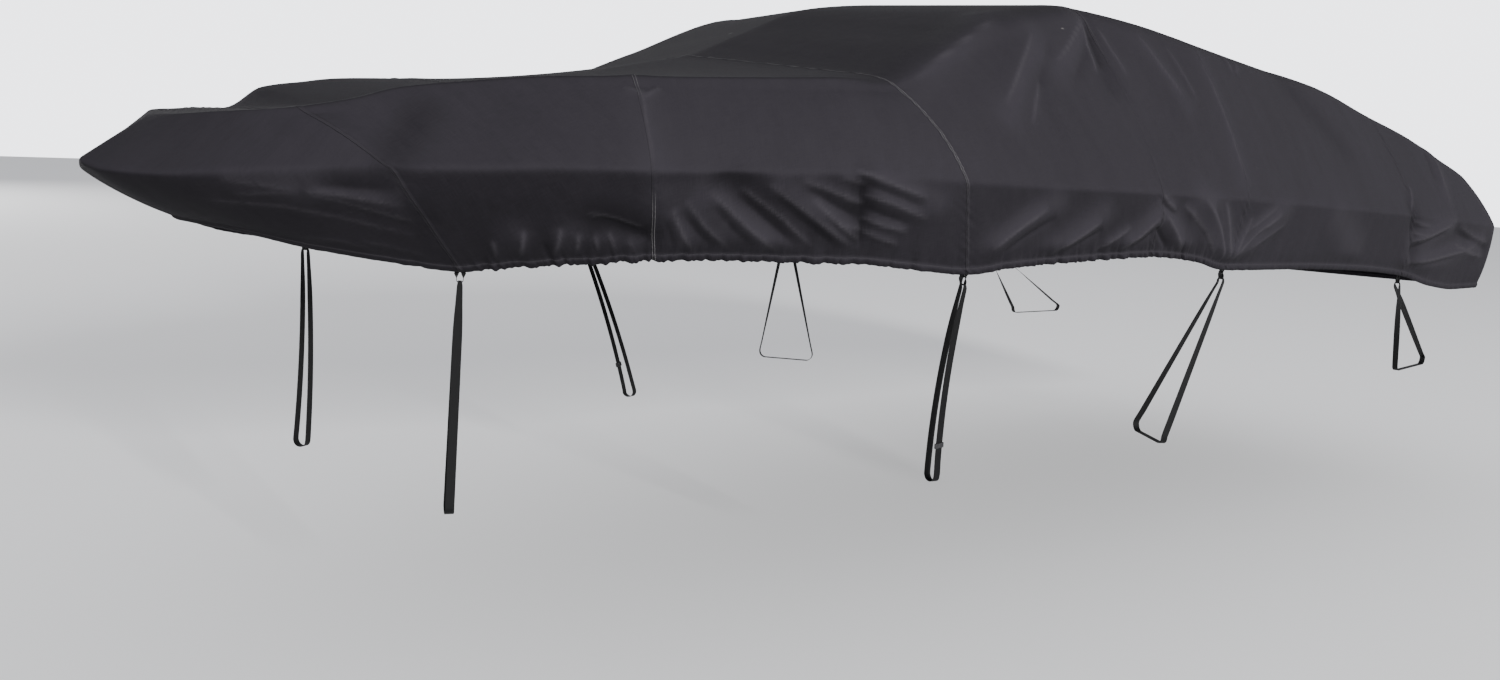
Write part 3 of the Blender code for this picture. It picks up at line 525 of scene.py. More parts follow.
def crease_height(points, side):
    """The sharp creases: a narrow crest with long flanks, running out at both ends. It also gives
    how near each point is to the line of a crest."""
    height = np.zeros(len(points))
    on_crest = np.zeros(len(points))
    for s0, l0, s1, l1, s2, l2, half_width, depth in CREASES:
        share = np.linspace(0, 2, 9)
        stations = np.interp(share, (0, 1, 2), (s0, s1, s2))
        levels = np.interp(share, (0, 1, 2), (l0, l1, l2))
        path = laid(stations, levels, side)
        close, gap, along = near_path(points, path, CREASE_REACH * half_width)
        tip = half_width * CREASE_TIP
        crest = np.exp(-(np.sqrt(gap**2 + tip**2) - tip) / half_width)
        crest = np.maximum(crest - CREASE_FOOT, 0) / (1 - CREASE_FOOT)
        taper = 1 - (2 * along - 1) ** 4
        height[close] += depth * crest * taper
        raised = min(1.0, max(depth, 0) / FULL_CREST)
        line = np.exp(-((gap / CREST_LINE) ** 2)) * taper * raised
        on_crest[close] = np.maximum(on_crest[close], line)
    return height, on_crest


def wave(run, length, wander, phase):
    """A long wave that never quite repeats."""
    turn = 2 * np.pi * run / length
    slow = wander * np.sin(turn / 3.7 + 1.3 * phase)
    slow += 0.5 * wander * np.sin(turn / 1.9 + 2.1 * phase)
    return np.sin(turn + slow + phase) + 0.35 * np.sin(1.7 * turn + 1.4 * slow + 2 * phase)


def hem_pucker(station, rise, side):
    """What the elastic gathers along the hem. It lies flat where a loop is sewn on."""
    height = np.zeros(len(station))
    for k, (length, climbs, depth, wander) in enumerate(PUCKERS):
        lean = rise * 0.25 * np.sin(1.9 * station + k)
        wavy = wave(station + lean, length, wander, 1.7 * k + 0.8 * side)
        height += depth * wavy * np.exp(-rise / climbs)
    tabs = np.array([SEAM_STATIONS[row] for row in TAB_ROWS])
    from_tab = np.abs(station[:, None] - tabs[None, :]).min(axis=1)
    free = np.clip((from_tab - TAB_CLEAR) / TAB_CLEAR, 0, 1)
    free = free * free * (3 - 2 * free)
    near_hem = np.exp(-rise / TAB_HOLD)
    strength = np.interp(station, *np.array(DRAWN_UP).T)
    return height * strength * (1 - near_hem * (1 - free))


def seam_relief(station, level, girth, side):
    """The raised lap just aft of each seam, and the small puckers that its stitching pulls up."""
    height = np.zeros(len(station))
    for row, (pucker, *laps) in SEAMS.items():
        proud = np.interp(level, *np.array(laps).T)
        from_seam = station - SEAM_STATIONS[row]
        rise = np.clip(from_seam / LAP_STEP, 0, 1)
        fall = np.clip((LAP_WIDE + LAP_FALL - from_seam) / LAP_FALL, 0, 1)
        height += proud * rise * fall
        pull = np.exp(-np.abs(from_seam - LAP_WIDE / 2) / SEAM_PUCKER_REACH)
        run = girth + 0.8 * from_seam
        height += pucker * pull * wave(run, SEAM_PUCKER_WAVE, SEAM_PUCKER_WANDER, 5.1 + side)
    return height


# The grid that a panel is made from, hem to ridge: a turned-up casing, its outer face, the skirt,
# the flank, the shoulder and the roof.
BANDS = (
    # first, last, steps
    (-1.0, 0.0, 6),
    (0.0, 1.0, 8),
    (1.0, 1.4, 12),
    (1.4, 2.0, 19),
    (2.0, 3.0 - ROUNDING, 32),
    (3.0 - ROUNDING, 3.0 + ROUNDING, 8),
    (3.0 + ROUNDING, 4.0, 28),
)
SKIRT_LOW = 1.4
PANELS = {
    # name: (first row, last row, column step, cut width, cut length, cut area)
    "panel_nose": ("stem", "seam_1", 0.0120, 0.85, 1.75, 0.93),
    "panel_fore": ("seam_1", "seam_2", 0.0100, 0.80, 2.60, 1.65),
    "panel_mid": ("seam_2", "seam_3", 0.0095, 1.10, 3.10, 2.55),
    "panel_rise": ("seam_3", "seam_4", 0.0085, 1.20, 3.90, 3.66),
    "panel_peak": ("seam_4", "seam_5", 0.0085, 0.65, 4.00, 2.15),
    "panel_aft": ("seam_5", "seam_6", 0.0130, 1.55, 3.95, 5.45),
    "panel_stern": ("seam_6", "tail", 0.0135, 2.35, 3.50, 5.30),
}
TAB_ROWS = ("seam_1", "seam_3", "seam_5", "seam_6")
# How pale the lap's stitching is painted, up the bands: pale thread, and a painted highlight of the
# lap that is stronger on some seams and heights.
PLAIN_THREAD = ((0.0, 0.30), (4.0, 0.30))
THREAD_AND_LAP_HIGHLIGHT = {
    "seam_1": ((0.0, 0.12), (4.0, 0.12)),
    "seam_2": ((1.0, 0.90), (1.6, 0.75), (1.8, 0.02), (2.7, 0.02), (2.9, 0.50)),
    "seam_3": ((1.0, 0.12), (1.9, 0.20), (2.1, 1.00), (4.0, 1.00)),
    "seam_4": ((1.0, 0.10), (2.2, 0.03), (2.7, 0.03), (2.9, 0.30)),
    "seam_5": ((0.0, 0.025), (4.0, 0.025)),
    "seam_6": ((0.0, 0.02), (4.0, 0.02)),
}
CASING_SHARE = 0.1
FINE_STEP = 0.008
SEAM_OFFSETS = (0.0, 0.0016, 0.0045, 0.0085, 0.0125, 0.0147, 0.0190, 0.0260)


def cloth(at, band, side):
    """Outer face of the finished cloth in port space, for rows and places up the bands, one pair
    each, with how high up the cloth each point is, how far the folds lift it and its share of a
    crest."""
    foot = drawn(at, 0 * at, side)
    skirt_length = np.linalg.norm(drawn(at, 0 * at + 1, side) - foot, axis=-1)
    casing_level = CASING / np.maximum(skirt_length, 0.05)
    level = np.where(band < 2, casing_level + (1 - casing_level) * (band - 1), band - 1)
    level = np.where(band < 1, casing_level * np.abs(band), level)
    points = drawn(at, level, side)
    nudge = 0.004
    after, before = np.clip(at + nudge, 0, LAST), np.clip(at - nudge, 0, LAST)
    higher, lower = np.clip(level + nudge, 0, 3), np.clip(level - nudge, 0, 3)
    aft = drawn(after, level, side) - drawn(before, level, side)
    up = drawn(at, higher, side) - drawn(at, lower, side)
    out = unit(np.cross(aft, up))
    station = np.interp(at, every_row, STATION)
    rise = level * skirt_length
    fade = np.clip((3 - level) / RIDGE_FADE, 0, 1) * np.clip((level - HEM_LEVEL) / HEM_FADE, 0, 1)
    fade = fade * fade * (3 - 2 * fade)
    creased, on_crest = crease_height(points, side)
    height = (fold_height(points, side) + creased) * fade
    relief = height.copy()
    height += hem_pucker(station, rise, side)
    height += seam_relief(station, level, rise, side) * np.clip((band + 0.1) / 0.2, 0, 1)
    swell = np.sin(np.pi * np.clip(band, 0, 1)) ** 0.7 * CASING_SWELL
    dip = -CASING_DIP * np.exp(-(((band - 1) * CASING / CASING_DIP_WIDE) ** 2)) * (band > 0)
    inner = np.clip(-band, 0, 1)
    turned = np.where(band < 0, -CASING_DEEP * np.minimum(1, (inner / 0.12)) ** 0.5, 0)
    tucked = np.where(band < 0, CASING_TUCK * np.clip((inner - 0.85) / 0.15, 0, 1), 0)
    height += swell + dip + turned + tucked
    return points + out * height[:, None], rise, relief, on_crest * fade


def band_steps():
    edges = [BANDS[0][0]]
    for first, last, steps in BANDS:
        edges += list(np.linspace(first, last, steps + 1)[1:])
    return np.array(edges)


def panel_stations(first, last, step):
    """Columns of a panel: close together where it is sewn, even between."""
    start, end = SEAM_STATIONS[first], SEAM_STATIONS[last]
    before = np.array(SEAM_OFFSETS if first in SEAMS else (0.0,)) + start
    after = end - np.array(SEAM_OFFSETS if last in SEAMS else (0.0,))[::-1]
    count = max(2, round((after[0] - before[-1]) / step))
    return np.concatenate([before, np.linspace(before[-1], after[0], count + 1)[1:-1], after])


def cut_place(stations, bands, at_station, at_band, side):
    """Where each point lies on the flat cloth, in metres: along it from the panel's first edge, and
    up it from the hem, counted down from the ridge so that both sides meet there."""
    rows, places = np.meshgrid(row_at(stations), bands, indexing="ij")
    skirt = CASING_SHARE + (1 - CASING_SHARE) * (places - 1)
    levels = np.where(places < 2, skirt, places - 1)
    levels = np.where(places < 1, np.abs(places) * CASING_SHARE, levels)
    shape = drawn(rows.ravel(), levels.ravel(), side).reshape(*rows.shape, 3)
    along = np.cumsum(np.linalg.norm(np.diff(shape, axis=0, prepend=shape[:1]), axis=-1), axis=0)
    girth = np.cumsum(np.linalg.norm(np.diff(shape, axis=1, prepend=shape[:, :1]), axis=-1), axis=1)
    girth = (girth - girth[:, -1:]) * -side
    i = np.clip(np.searchsorted(stations, at_station) - 1, 0, len(stations) - 2)
    j = np.clip(np.searchsorted(bands, at_band) - 1, 0, len(bands) - 2)
    a = (at_station - stations[i]) / (stations[i + 1] - stations[i])
    b = (at_band - bands[j]) / (bands[j + 1] - bands[j])
    read = [
        table[i, j] * (1 - a) * (1 - b) + table[i + 1, j] * a * (1 - b)
        + table[i, j + 1] * (1 - a) * b + table[i + 1, j + 1] * a * b
        for table in (along, girth)
    ]
    return np.stack(read, axis=-1)


def nearest_lap(station, band, first):
    """How far aft of its seam a point lies, large where it is not on a lap, and how pale its
    stitching is painted there: pale thread and a painted highlight of the lap."""
    from_seam = station - SEAM_STATIONS[first] if first in SEAMS else station * 0 + 1.0
    pale = np.interp(band, *np.array(THREAD_AND_LAP_HIGHLIGHT.get(first, PLAIN_THREAD)).T)
    return np.where(from_seam > LAP_WIDE + 0.01, 1.0, from_seam), pale


def build_panel(name, first, last, step):
    """A grid in stations by bands, finer along the hem, then laid on the surface."""
    stations = panel_stations(first, last, step)
    bands = band_steps()
    half = len(bands) - 1
    across = 2 * half
    grid = bmesh.new()
    bmesh.ops.create_grid(grid, x_segments=len(stations) - 1, y_segments=across, size=0.5)
    for vert in grid.verts:
        column = round((vert.co.x + 0.5) * (len(stations) - 1))
        place = round((vert.co.y + 0.5) * across)
        side = -1.0 if place <= half else 1.0
        band = bands[place] if side < 0 else bands[across - place]
        vert.co = (stations[column], side * (4.0 - band), 0.0)
    low = [
        edge for edge in grid.edges
        if abs(edge.verts[0].co.y - edge.verts[1].co.y) < 1e-9
        and abs(edge.verts[0].co.y) > 4.0 - SKIRT_LOW - 1e-6
        and edge.calc_length() > FINE_STEP
    ]
    bmesh.ops.subdivide_edges(grid, edges=low, cuts=1, use_grid_fill=True)
    mesh = bpy.data.meshes.new(name + "_sheet")
    grid.to_mesh(mesh)
    grid.free()
    flat = np.empty(len(mesh.vertices) * 3)
    mesh.vertices.foreach_get("co", flat)
    flat = flat.reshape(-1, 3)
    at = row_at(flat[:, 0])
    at[flat[:, 0] <= stations[0]] = ROW_NAMES.index(first)
    at[flat[:, 0] >= stations[-1]] = ROW_NAMES.index(last)
    band = 4.0 - np.abs(flat[:, 1])
    placed = np.empty_like(flat)
    marks = {name: np.zeros(len(flat)) for name in ("rise", "relief", "crest", "lap", "thread_and_highlight")}
    cut = np.zeros((len(flat), 2))
    for side in (-1.0, 1.0):
        mine = (flat[:, 1] <= 0) if side < 0 else (flat[:, 1] > 0)
        points, *found = cloth(at[mine], band[mine], side)
        for name, values in zip(("rise", "relief", "crest"), found):
            marks[name][mine] = values
        placed[mine] = points * (1, -side, 1) + MOUNT_FROM_TABLES
        cut[mine] = cut_place(stations, bands, flat[mine, 0], band[mine], side)
    marks["lap"], marks["thread_and_highlight"] = nearest_lap(flat[:, 0], band, first)
    mesh.vertices.foreach_set("co", placed.ravel())
    mesh.update()
    for name, values in marks.items():
        mesh.attributes.new(name, "FLOAT", "POINT").data.foreach_set("value", values)
    corners = np.empty(len(mesh.loops), int)
    mesh.loops.foreach_get("vertex_index", corners)
    mesh.uv_layers.new(name="cut").data.foreach_set("uv", cut[corners].ravel())
    return mesh


def shown(name, mesh, finish, node):
    """A finished piece: smooth faces, its finish, its body, and the node it stands for."""
    piece = bpy.data.objects.new(name, mesh)
    bpy.context.scene.collection.objects.link(piece)
    mesh.polygons.foreach_set("use_smooth", np.ones(len(mesh.polygons), bool))
    mesh.materials.append(finish)
    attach(piece, "root")
    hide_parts(node)
    return piece


class Dye:
    """One socket of a finish, so that its maths reads as an expression, and the way to add a
    node."""

    def __init__(self, tree, socket=None):
        self.tree = tree
        self.socket = socket

    def node(self, kind, settings=None, sockets=None, output=0):
        added = self.tree.nodes.new(kind)
        for key, value in (settings or {}).items():
            setattr(added, key, value)
        for key, value in (sockets or {}).items():
            if isinstance(value, Dye):
                self.tree.links.new(value.socket, added.inputs[key])
            else:
                added.inputs[key].default_value = value
        return Dye(self.tree, added.outputs[output])

    def maths(self, operation, *values):
        return self.node("ShaderNodeMath", {"operation": operation}, dict(enumerate(values)))

    def between(self, low, high):
        """0 at low, 1 at high, and smooth in between."""
        limits = {"Value": self, "From Min": low, "From Max": high}
        return self.node("ShaderNodeMapRange", {"interpolation_type": "SMOOTHSTEP"}, limits)

    def tint(self, first, second):
        """The first colour where this is 0 and the second where it is 1."""
        return self.node("ShaderNodeMix", {"data_type": "RGBA"}, {0: self, 6: first, 7: second}, 2)

    def noise(self, place, scale, detail=2.0, rough=0.5):
        sockets = {"Vector": place, "Scale": scale, "Detail": detail, "Roughness": rough}
        return self.node("ShaderNodeTexNoise", None, sockets)

    def __add__(self, other):
        return self.maths("ADD", self, other)

    def __sub__(self, other):
        return self.maths("SUBTRACT", self, other)

    def __rsub__(self, other):
        return self.maths("SUBTRACT", other, self)

    def __mul__(self, other):
        return self.maths("MULTIPLY", self, other)

    def __abs__(self):
        return self.maths("ABSOLUTE", self)

    __radd__ = __add__
    __rmul__ = __mul__


def finish_named(name, settings):
    """A material with the constant sockets of its shader set. It gives its shader and a first
    Dye."""
    material = bpy.data.materials.new(name)
    material.use_nodes = True
    shader = material.node_tree.nodes["Principled BSDF"]
    for key, value in settings.items():
        shader.inputs[key].default_value = value
    return material, shader, Dye(material.node_tree)


def feed(shader, dye, colour, rough, height):
    """Joins a finish's colour, roughness and height in metres to its shader."""
    raised = dye.node("ShaderNodeBump", None, {"Height": height, "Strength": 1.0, "Distance": 1.0})
    for key, value in (("Base Color", colour), ("Roughness", rough), ("Normal", raised)):
        dye.tree.links.new(value.socket, shader.inputs[key])


CLOTH_GAUGE = 0.0016
# The cloth's tone runs from its darker colour, where painted shade falls and the cloth is new, to
# its paler one, where painted light falls and the cloth is worn.
CLOTH_DEEP = (0.0068, 0.0061, 0.0075, 1)
CLOTH_LIT_AND_WORN = (0.0246, 0.0223, 0.0268, 1)
# Dust, and the painted highlight along crease crests, lighten the cloth towards this colour.
CLOTH_DUST_AND_HIGHLIGHT = (0.0540, 0.0500, 0.0560, 1)
CLOTH_ROUGH = 0.80
# Distances in metres: the weave, the lap's two rows of stitches, and the casing's one row.
WARP_PITCH = 0.0011
STITCH_PITCH = 0.0042
STITCH_ROWS = (0.0025, 0.0100)
HEM_STITCH = 0.0225
THREAD = (0.1700, 0.1650, 0.1650, 1)
THREAD_EDGE = (0.0011, 0.0006)
HEM_THREAD_EDGE = (0.0010, 0.0006)
HEM_THREAD_PALE = 0.10
STITCH_GAP = (-0.35, 0.1)
# How fast each unevenness changes, in turns a metre, across the yarn and along it.
SLUB = (700, 22)
STREAK = (16, 2.2)
BLOTCH = 1.7
RIPPLE = 17.0
CRUMPLE = 85.0
# How far the cloth has to face up to be painted paler, as painted light, and to be painted darker on
# the flat top, as painted shade.
LIT_FACING_REACH = (-0.68, 0.20)
LIT_FACING_PALE = 0.62
TOP_SHADE_REACH = (0.68, 0.98)
TOP_SHADE_DARK = 0.34
# How strongly the folds' relief is painted: painted shade in their troughs and painted light on
# their ridges. Then the tone's base and its spread.
FOLD_LIGHT_AND_SHADE = 26.0
PLAIN_WEAR = 0.10
TONE_SPREAD = (-0.25, 1.15)
# How strong the painted highlight along the crest of a raised crease is.
CREST_HIGHLIGHT = 0.30
FLECK = (0.4200, 0.4000, 0.3700, 1)
FLECK_STRETCH = (0.6, 1.0, 1.5)
FLECKS = 5.6
FLECK_EDGE = (0.050, 0.010)
FLECK_SHARE = (0.62, 0.66)
FLECK_PALE = 0.20

woven_cloth, shader, dye = finish_named(
    "charcoal_weave", {"Specular IOR Level": 0.05, "Sheen Weight": 0.01, "Sheen Roughness": 0.45}
)
spot = dye.node("ShaderNodeTexCoord", None, None, 3)
cut = dye.node("ShaderNodeUVMap", {"uv_map": "cut"})
along, girth = (dye.node("ShaderNodeSeparateXYZ", None, {0: cut}, k) for k in (0, 1))
normal = dye.node("ShaderNodeNewGeometry", None, None, 1)
facing_up = dye.node("ShaderNodeSeparateXYZ", None, {0: normal}, 2)
rise, relief, crest, lap, thread_and_highlight = (
    dye.node("ShaderNodeAttribute", {"attribute_name": name}, None, 2)
    for name in ("rise", "relief", "crest", "lap", "thread_and_highlight")
)
# Plain weave: each warp end goes over one weft pick and under the next.
warp = dye.maths("SINE", along * (2 * np.pi / WARP_PITCH))
weft = dye.maths("SINE", girth * (2 * np.pi / WARP_PITCH))
yarn = warp * weft
# Uneven yarn: long flecks of a lighter grey, along the warp and along the weft.
slub_warp = dye.node("ShaderNodeCombineXYZ", None, {0: along * SLUB[0], 1: girth * SLUB[1]})
slub_weft = dye.node("ShaderNodeCombineXYZ", None, {0: along * SLUB[1], 1: girth * SLUB[0]})
slub = dye.noise(slub_warp, 1.0) + dye.noise(slub_weft, 1.0) - 1.0
streaked = dye.node("ShaderNodeCombineXYZ", None, {0: along * STREAK[0], 1: girth * STREAK[1]})
streak = dye.noise(streaked, 1.0, 4.0, 0.6) - 0.5
blotch = dye.noise(spot, BLOTCH, 5.0, 0.6) - 0.5
ripple = dye.noise(spot, RIPPLE, 3.0, 0.55) - 0.5
crumple = dye.noise(spot, CRUMPLE, 3.0, 0.6) - 0.5
# Two rows of lock stitches hold each lap, and one row closes the casing.
rows = [abs(lap - row).between(*THREAD_EDGE) for row in STITCH_ROWS]
dash = dye.maths("SINE", girth * (2 * np.pi / STITCH_PITCH)).between(*STITCH_GAP)
stitch = (rows[0] + rows[1]) * dash
run_dash = dye.maths("SINE", along * (2 * np.pi / STITCH_PITCH)).between(*STITCH_GAP)
hem_stitch = abs(rise - HEM_STITCH).between(*HEM_THREAD_EDGE) * run_dash
# Painted light and shade by which way the cloth faces: where it faces out and up it is painted
# paler, as painted light. The skirt that leans in under the bow keeps the darker colour, as painted
# shade, and so does the flat top.
facing_light_and_shade = facing_up.between(*LIT_FACING_REACH) * LIT_FACING_PALE
facing_light_and_shade = facing_light_and_shade - facing_up.between(*TOP_SHADE_REACH) * TOP_SHADE_DARK
uneven = blotch * 0.45 + slub * 0.5 + streak * 0.22
# The tone: painted shade in the folds' troughs and painted light on their ridges, the painted light
# and shade by facing, and the real unevenness of yarn and wear.
tone = (relief * FOLD_LIGHT_AND_SHADE + PLAIN_WEAR + facing_light_and_shade + uneven).between(*TONE_SPREAD)
# Lighter with blotches of dust, and with a painted highlight along the crest of each raised crease.
lightening = (blotch * 0.30).between(0.0, 1.6) + crest * (CREST_HIGHLIGHT + slub * 0.9)
# A few flecks of grit and lint, well apart.
stretched = dye.node("ShaderNodeMapping", None, {"Vector": spot, "Scale": FLECK_STRETCH})
place = {"Vector": stretched, "Scale": FLECKS, "Randomness": 1.0}
gap = dye.node("ShaderNodeTexVoronoi", None, place)
lot = dye.node("ShaderNodeTexVoronoi", None, place, 1)
lot = dye.node("ShaderNodeSeparateColor", None, {0: lot}).between(*FLECK_SHARE)
fleck = (gap + crumple * 0.16).between(*FLECK_EDGE) * lot * FLECK_PALE
colour = tone.tint(CLOTH_DEEP, CLOTH_LIT_AND_WORN)
colour = lightening.tint(colour, CLOTH_DUST_AND_HIGHLIGHT)
# Stitches in pale thread, painted paler along some seams as a painted highlight of the lap.
colour = (stitch * thread_and_highlight + hem_stitch * HEM_THREAD_PALE).tint(colour, THREAD)
colour = fleck.tint(colour, FLECK)
rough = CLOTH_ROUGH + blotch * 0.12 + slub * 0.10 - stitch * 0.1
height = yarn * 0.00005 + slub * 0.00006 + stitch * 0.0004 + hem_stitch * 0.0004
height = height + fleck * 0.0008 + ripple * 0.0016 + crumple * 0.00045
feed(shader, dye, colour, rough, height)

for name, (first, last, step, cut_width, cut_length, cut_area) in PANELS.items():
    mesh = build_panel(name, first, last, step)
    sheet = shown(name.replace("panel", "cloth"), mesh, woven_cloth, name)
    gauge = sheet.modifiers.new("gauge", "SOLIDIFY")
    gauge.thickness = CLOTH_GAUGE
    gauge.offset = -1

# ------------------------------------------------------------------------------ hem loops
# A short piece of narrow webbing at four seams a side, folded over and sewn flat to the inside of
# the hem, so that its loop stands on edge below the hem. The same black webbing as the straps.
HEM_THICK = 0.006
LOOP_GAUGE = 0.0016
TAB_DROP = 0.035
TIES = {
    # name: row, seat, foot_x, foot_y, foot_z, gap, turn, sag
    "1": ("seam_1", 0.0021, -3.450, -0.475, 0.450, 0.050, 66.0, 0.010),
    "2": ("seam_3", 0.0009, -1.845, -0.840, 0.410, 0.055, 75.0, 0.020),
    "3": ("seam_5", 0.0009, -0.780, -1.000, 0.475, 0.260, 55.0, 0.000),
    "4": ("seam_6", 0.0009, 1.330, -1.080, 0.600, 0.400, 5.0, 0.000),
}
# Along the hem, height from the hem edge, turn of the flat, width.
TAB_PATH = (
    (-0.0090, 0.014, 0.0, 0.0160),
    (-0.0090, -0.004, 0.0, 0.0150),
    (-0.0094, -0.011, 20.0, 0.0140),
    (-0.0095, -0.018, 60.0, 0.0130),
    (-0.0090, -0.026, 90.0, 0.0120),
    (-0.0080, -0.032, 90.0, 0.0120),
    (-0.0055, -TAB_DROP, 90.0, 0.0120),
    (0.0, -TAB_DROP, 90.0, 0.0120),
)
WEB_EDGE = (
    # across, proud: the outline of webbing in cross-section, in half widths and half gauges
    (-1.00, 0.0), (-0.985, 0.70), (-0.95, 1.0), (-0.6, 0.92), (-0.2, 0.90), (0.2, 0.90),
    (0.6, 0.92), (0.95, 1.0), (0.985, 0.70), (1.00, 0.0), (0.985, -0.70), (0.95, -1.0),
    (0.6, -0.92), (0.2, -0.90), (-0.2, -0.90), (-0.6, -0.92), (-0.95, -1.0), (-0.985, -0.70),
)


def hem_frame(row, seat):
    """At a seam's hem: where a loop is sewn on, inside it, and the ways along, up and outwards."""
    at = np.array([float(ROW_NAMES.index(row))])
    zero = np.zeros(1)
    edge = Vector(drawn(at, zero, -1)[0])
    above = Vector(drawn(at, zero + 0.06, -1)[0])
    ends = [drawn(at + d, zero, -1)[0] for d in (-0.01, 0.01)]
    along = Vector(ends[1] - ends[0]).normalized()
    out = along.cross(above - edge).normalized()
    sewn = edge - out * (HEM_THICK + seat + LOOP_GAUGE / 2)
    return sewn, along, out.cross(along), Vector((out.x, out.y, 0)).normalized()


def densify(path, closed, times):
    """A finer path through the same points: each entry is (point, flat way, width, gauge)."""
    rows = np.array([[*p, *f, w, t] for p, f, w, t in path])
    count = len(rows)
    if closed:
        rows = np.concatenate([rows[-3:], rows, rows[:4]])
        at = 3 + np.arange(count * times) / times
    else:
        at = np.linspace(0, count - 1, (count - 1) * times + 1)
    return sample(rows, at)


def webbing_mesh(name, rows, closed, side):
    """Webbing along a path: a grid rolled into a flat tube, its edges and ends closed."""
    spots = rows[:, :3]
    if closed:
        run = unit(np.roll(spots, -1, axis=0) - np.roll(spots, 1, axis=0))
    else:
        run = unit(np.gradient(spots, axis=0))
    flat = rows[:, 3:6]
    flat = unit(flat - run * (run * flat).sum(axis=1, keepdims=True))
    face = np.cross(run, flat)
    around = len(WEB_EDGE)
    length = len(rows) if closed else len(rows) - 1
    ring = np.concatenate([spots, spots[:1]])
    laid_out = np.concatenate([[0.0], np.cumsum(np.linalg.norm(np.diff(ring, axis=0), axis=1))])
    tube = bmesh.new()
    bmesh.ops.create_grid(tube, x_segments=length, y_segments=around, size=0.5)
    woven = tube.loops.layers.uv.new("web")
    for patch in tube.faces:
        for corner in patch.loops:
            i = round((corner.vert.co.x + 0.5) * length)
            across = WEB_EDGE[round((corner.vert.co.y + 0.5) * around) % around][0]
            corner[woven].uv = (across * rows[i % len(rows), 6] / 2, laid_out[i])
    for vert in tube.verts:
        i = round((vert.co.x + 0.5) * length) % len(rows)
        across, proud = WEB_EDGE[round((vert.co.y + 0.5) * around) % around]
        spot = spots[i] + flat[i] * across * rows[i, 6] / 2 + face[i] * proud * rows[i, 7] / 2
        vert.co = Vector(spot * (1, -side, 1) + MOUNT_FROM_TABLES)
    bmesh.ops.remove_doubles(tube, verts=tube.verts, dist=0.00002)
    if not closed:
        ends = [edge for edge in tube.edges if edge.is_boundary]
        bmesh.ops.holes_fill(tube, edges=ends, sides=around)
    bmesh.ops.recalc_face_normals(tube, faces=tube.faces)
    mesh = bpy.data.meshes.new(name)
    tube.to_mesh(mesh)
    tube.free()
    return mesh


RIB_PITCH = 0.0021
PICK_PITCH = 0.0014
PICK_SLANT = 1500.0
WEB_RUBBED = (0.0085, 0.0125)
WEB_DEEP = (0.0018, 0.0018, 0.0021, 1)
WEB_WORN = (0.0065, 0.0063, 0.0066, 1)
WEB_DUST = (0.0260, 0.0245, 0.0230, 1)

black_webbing, shader, dye = finish_named(
    "black_webbing", {"Specular IOR Level": 0.16, "Sheen Weight": 0.01, "Sheen Roughness": 0.4}
)
spot = dye.node("ShaderNodeTexCoord", None, None, 3)
web = dye.node("ShaderNodeUVMap", {"uv_map": "web"})
across, along = (dye.node("ShaderNodeSeparateXYZ", None, {0: web}, k) for k in (0, 1))
# Twill ribs along the webbing, each crossed by slanting picks that turn from rib to rib.
rib = dye.maths("SINE", across * (2 * np.pi / RIB_PITCH))
slant = dye.maths("SIGN", rib) * across * PICK_SLANT
pick = dye.maths("SINE", along * (2 * np.pi / PICK_PITCH) + slant)
stain = dye.noise(spot, 9.0, 4.0, 0.6) - 0.5
grit = dye.noise(spot, 240.0, 3.0, 0.6) - 0.5
edge = abs(across).between(*WEB_RUBBED)
tone = (rib * 0.18 + pick * 0.12 + 0.30 + stain * 0.9 + edge * 0.35).between(-0.1, 1.2)
lightening = (edge * 0.20 + stain * 0.5 + grit * 0.4).between(0.10, 1.3)
colour = lightening.tint(tone.tint(WEB_DEEP, WEB_WORN), WEB_DUST)
height = rib * 0.00016 + pick * 0.00007 + grit * 0.00008
feed(shader, dye, colour, 0.58 + stain * 0.2 + lightening * 0.2, height)


def loop_path(key):
    """A hem loop, port side: sewn on at both ends, and turned on edge where it hangs free."""
    sewn, along, up, out = hem_frame(*TIES[key][:2])
    level_way = out.cross(Vector((0, 0, 1)))
    mirrored = [(-d, height, 180.0 - turn, wide) for d, height, turn, wide in TAB_PATH[-2::-1]]
    path = []
    for d, height, turn, width in [*TAB_PATH, *mirrored]:
        held = max(height, -HEM_THICK)
        run = along if height == held else level_way
        spot = sewn + run * d + up * held + Vector((0, 0, height - held))
        flat = run * np.cos(np.radians(turn)) + out * np.sin(np.radians(turn))
        path.append((spot, flat, width, LOOP_GAUGE))
    return path


SIDES = {"port": -1.0, "starboard": 1.0}
for key in TIES:
    rows = densify(loop_path(key), False, 4)
    for word, side in SIDES.items():
        mesh = webbing_mesh(f"loop_{key}_{word}_webbing", rows, False, side)
        shown(f"loop_{key}_{word}", mesh, black_webbing, f"hem_loop_{key}_{word}")

# ------------------------------------------------------------------------------ straps
# Black 25 mm polypropylene webbing, one closed ring in each hem loop: gathered where it goes over
# the loop, and open in two legs below, down to the bar it ties round.
STRAP_WIDE = 0.025
STRAP_GAUGE = 0.0016
CLEAR = 0.0004
LEG_STEPS = 12
TWISTED_BY = 0.9
SPREAD_BY = 0.2
FOOT_CORNER = 0.03
FOOT_CORNER_SHARE = 0.45
FOLD_PATH = (
    # across the cover, height over the loop's foot, width, thickness
    (0.0, 0.0, 0.0095, 0.0024),
    (0.0066, 0.0, 0.0095, 0.0024),
    (0.0092, -0.0010, 0.0095, 0.0024),
    (0.0104, -0.0040, 0.0110, 0.0022),
    (0.0108, -0.0120, 0.0150, 0.0020),
)


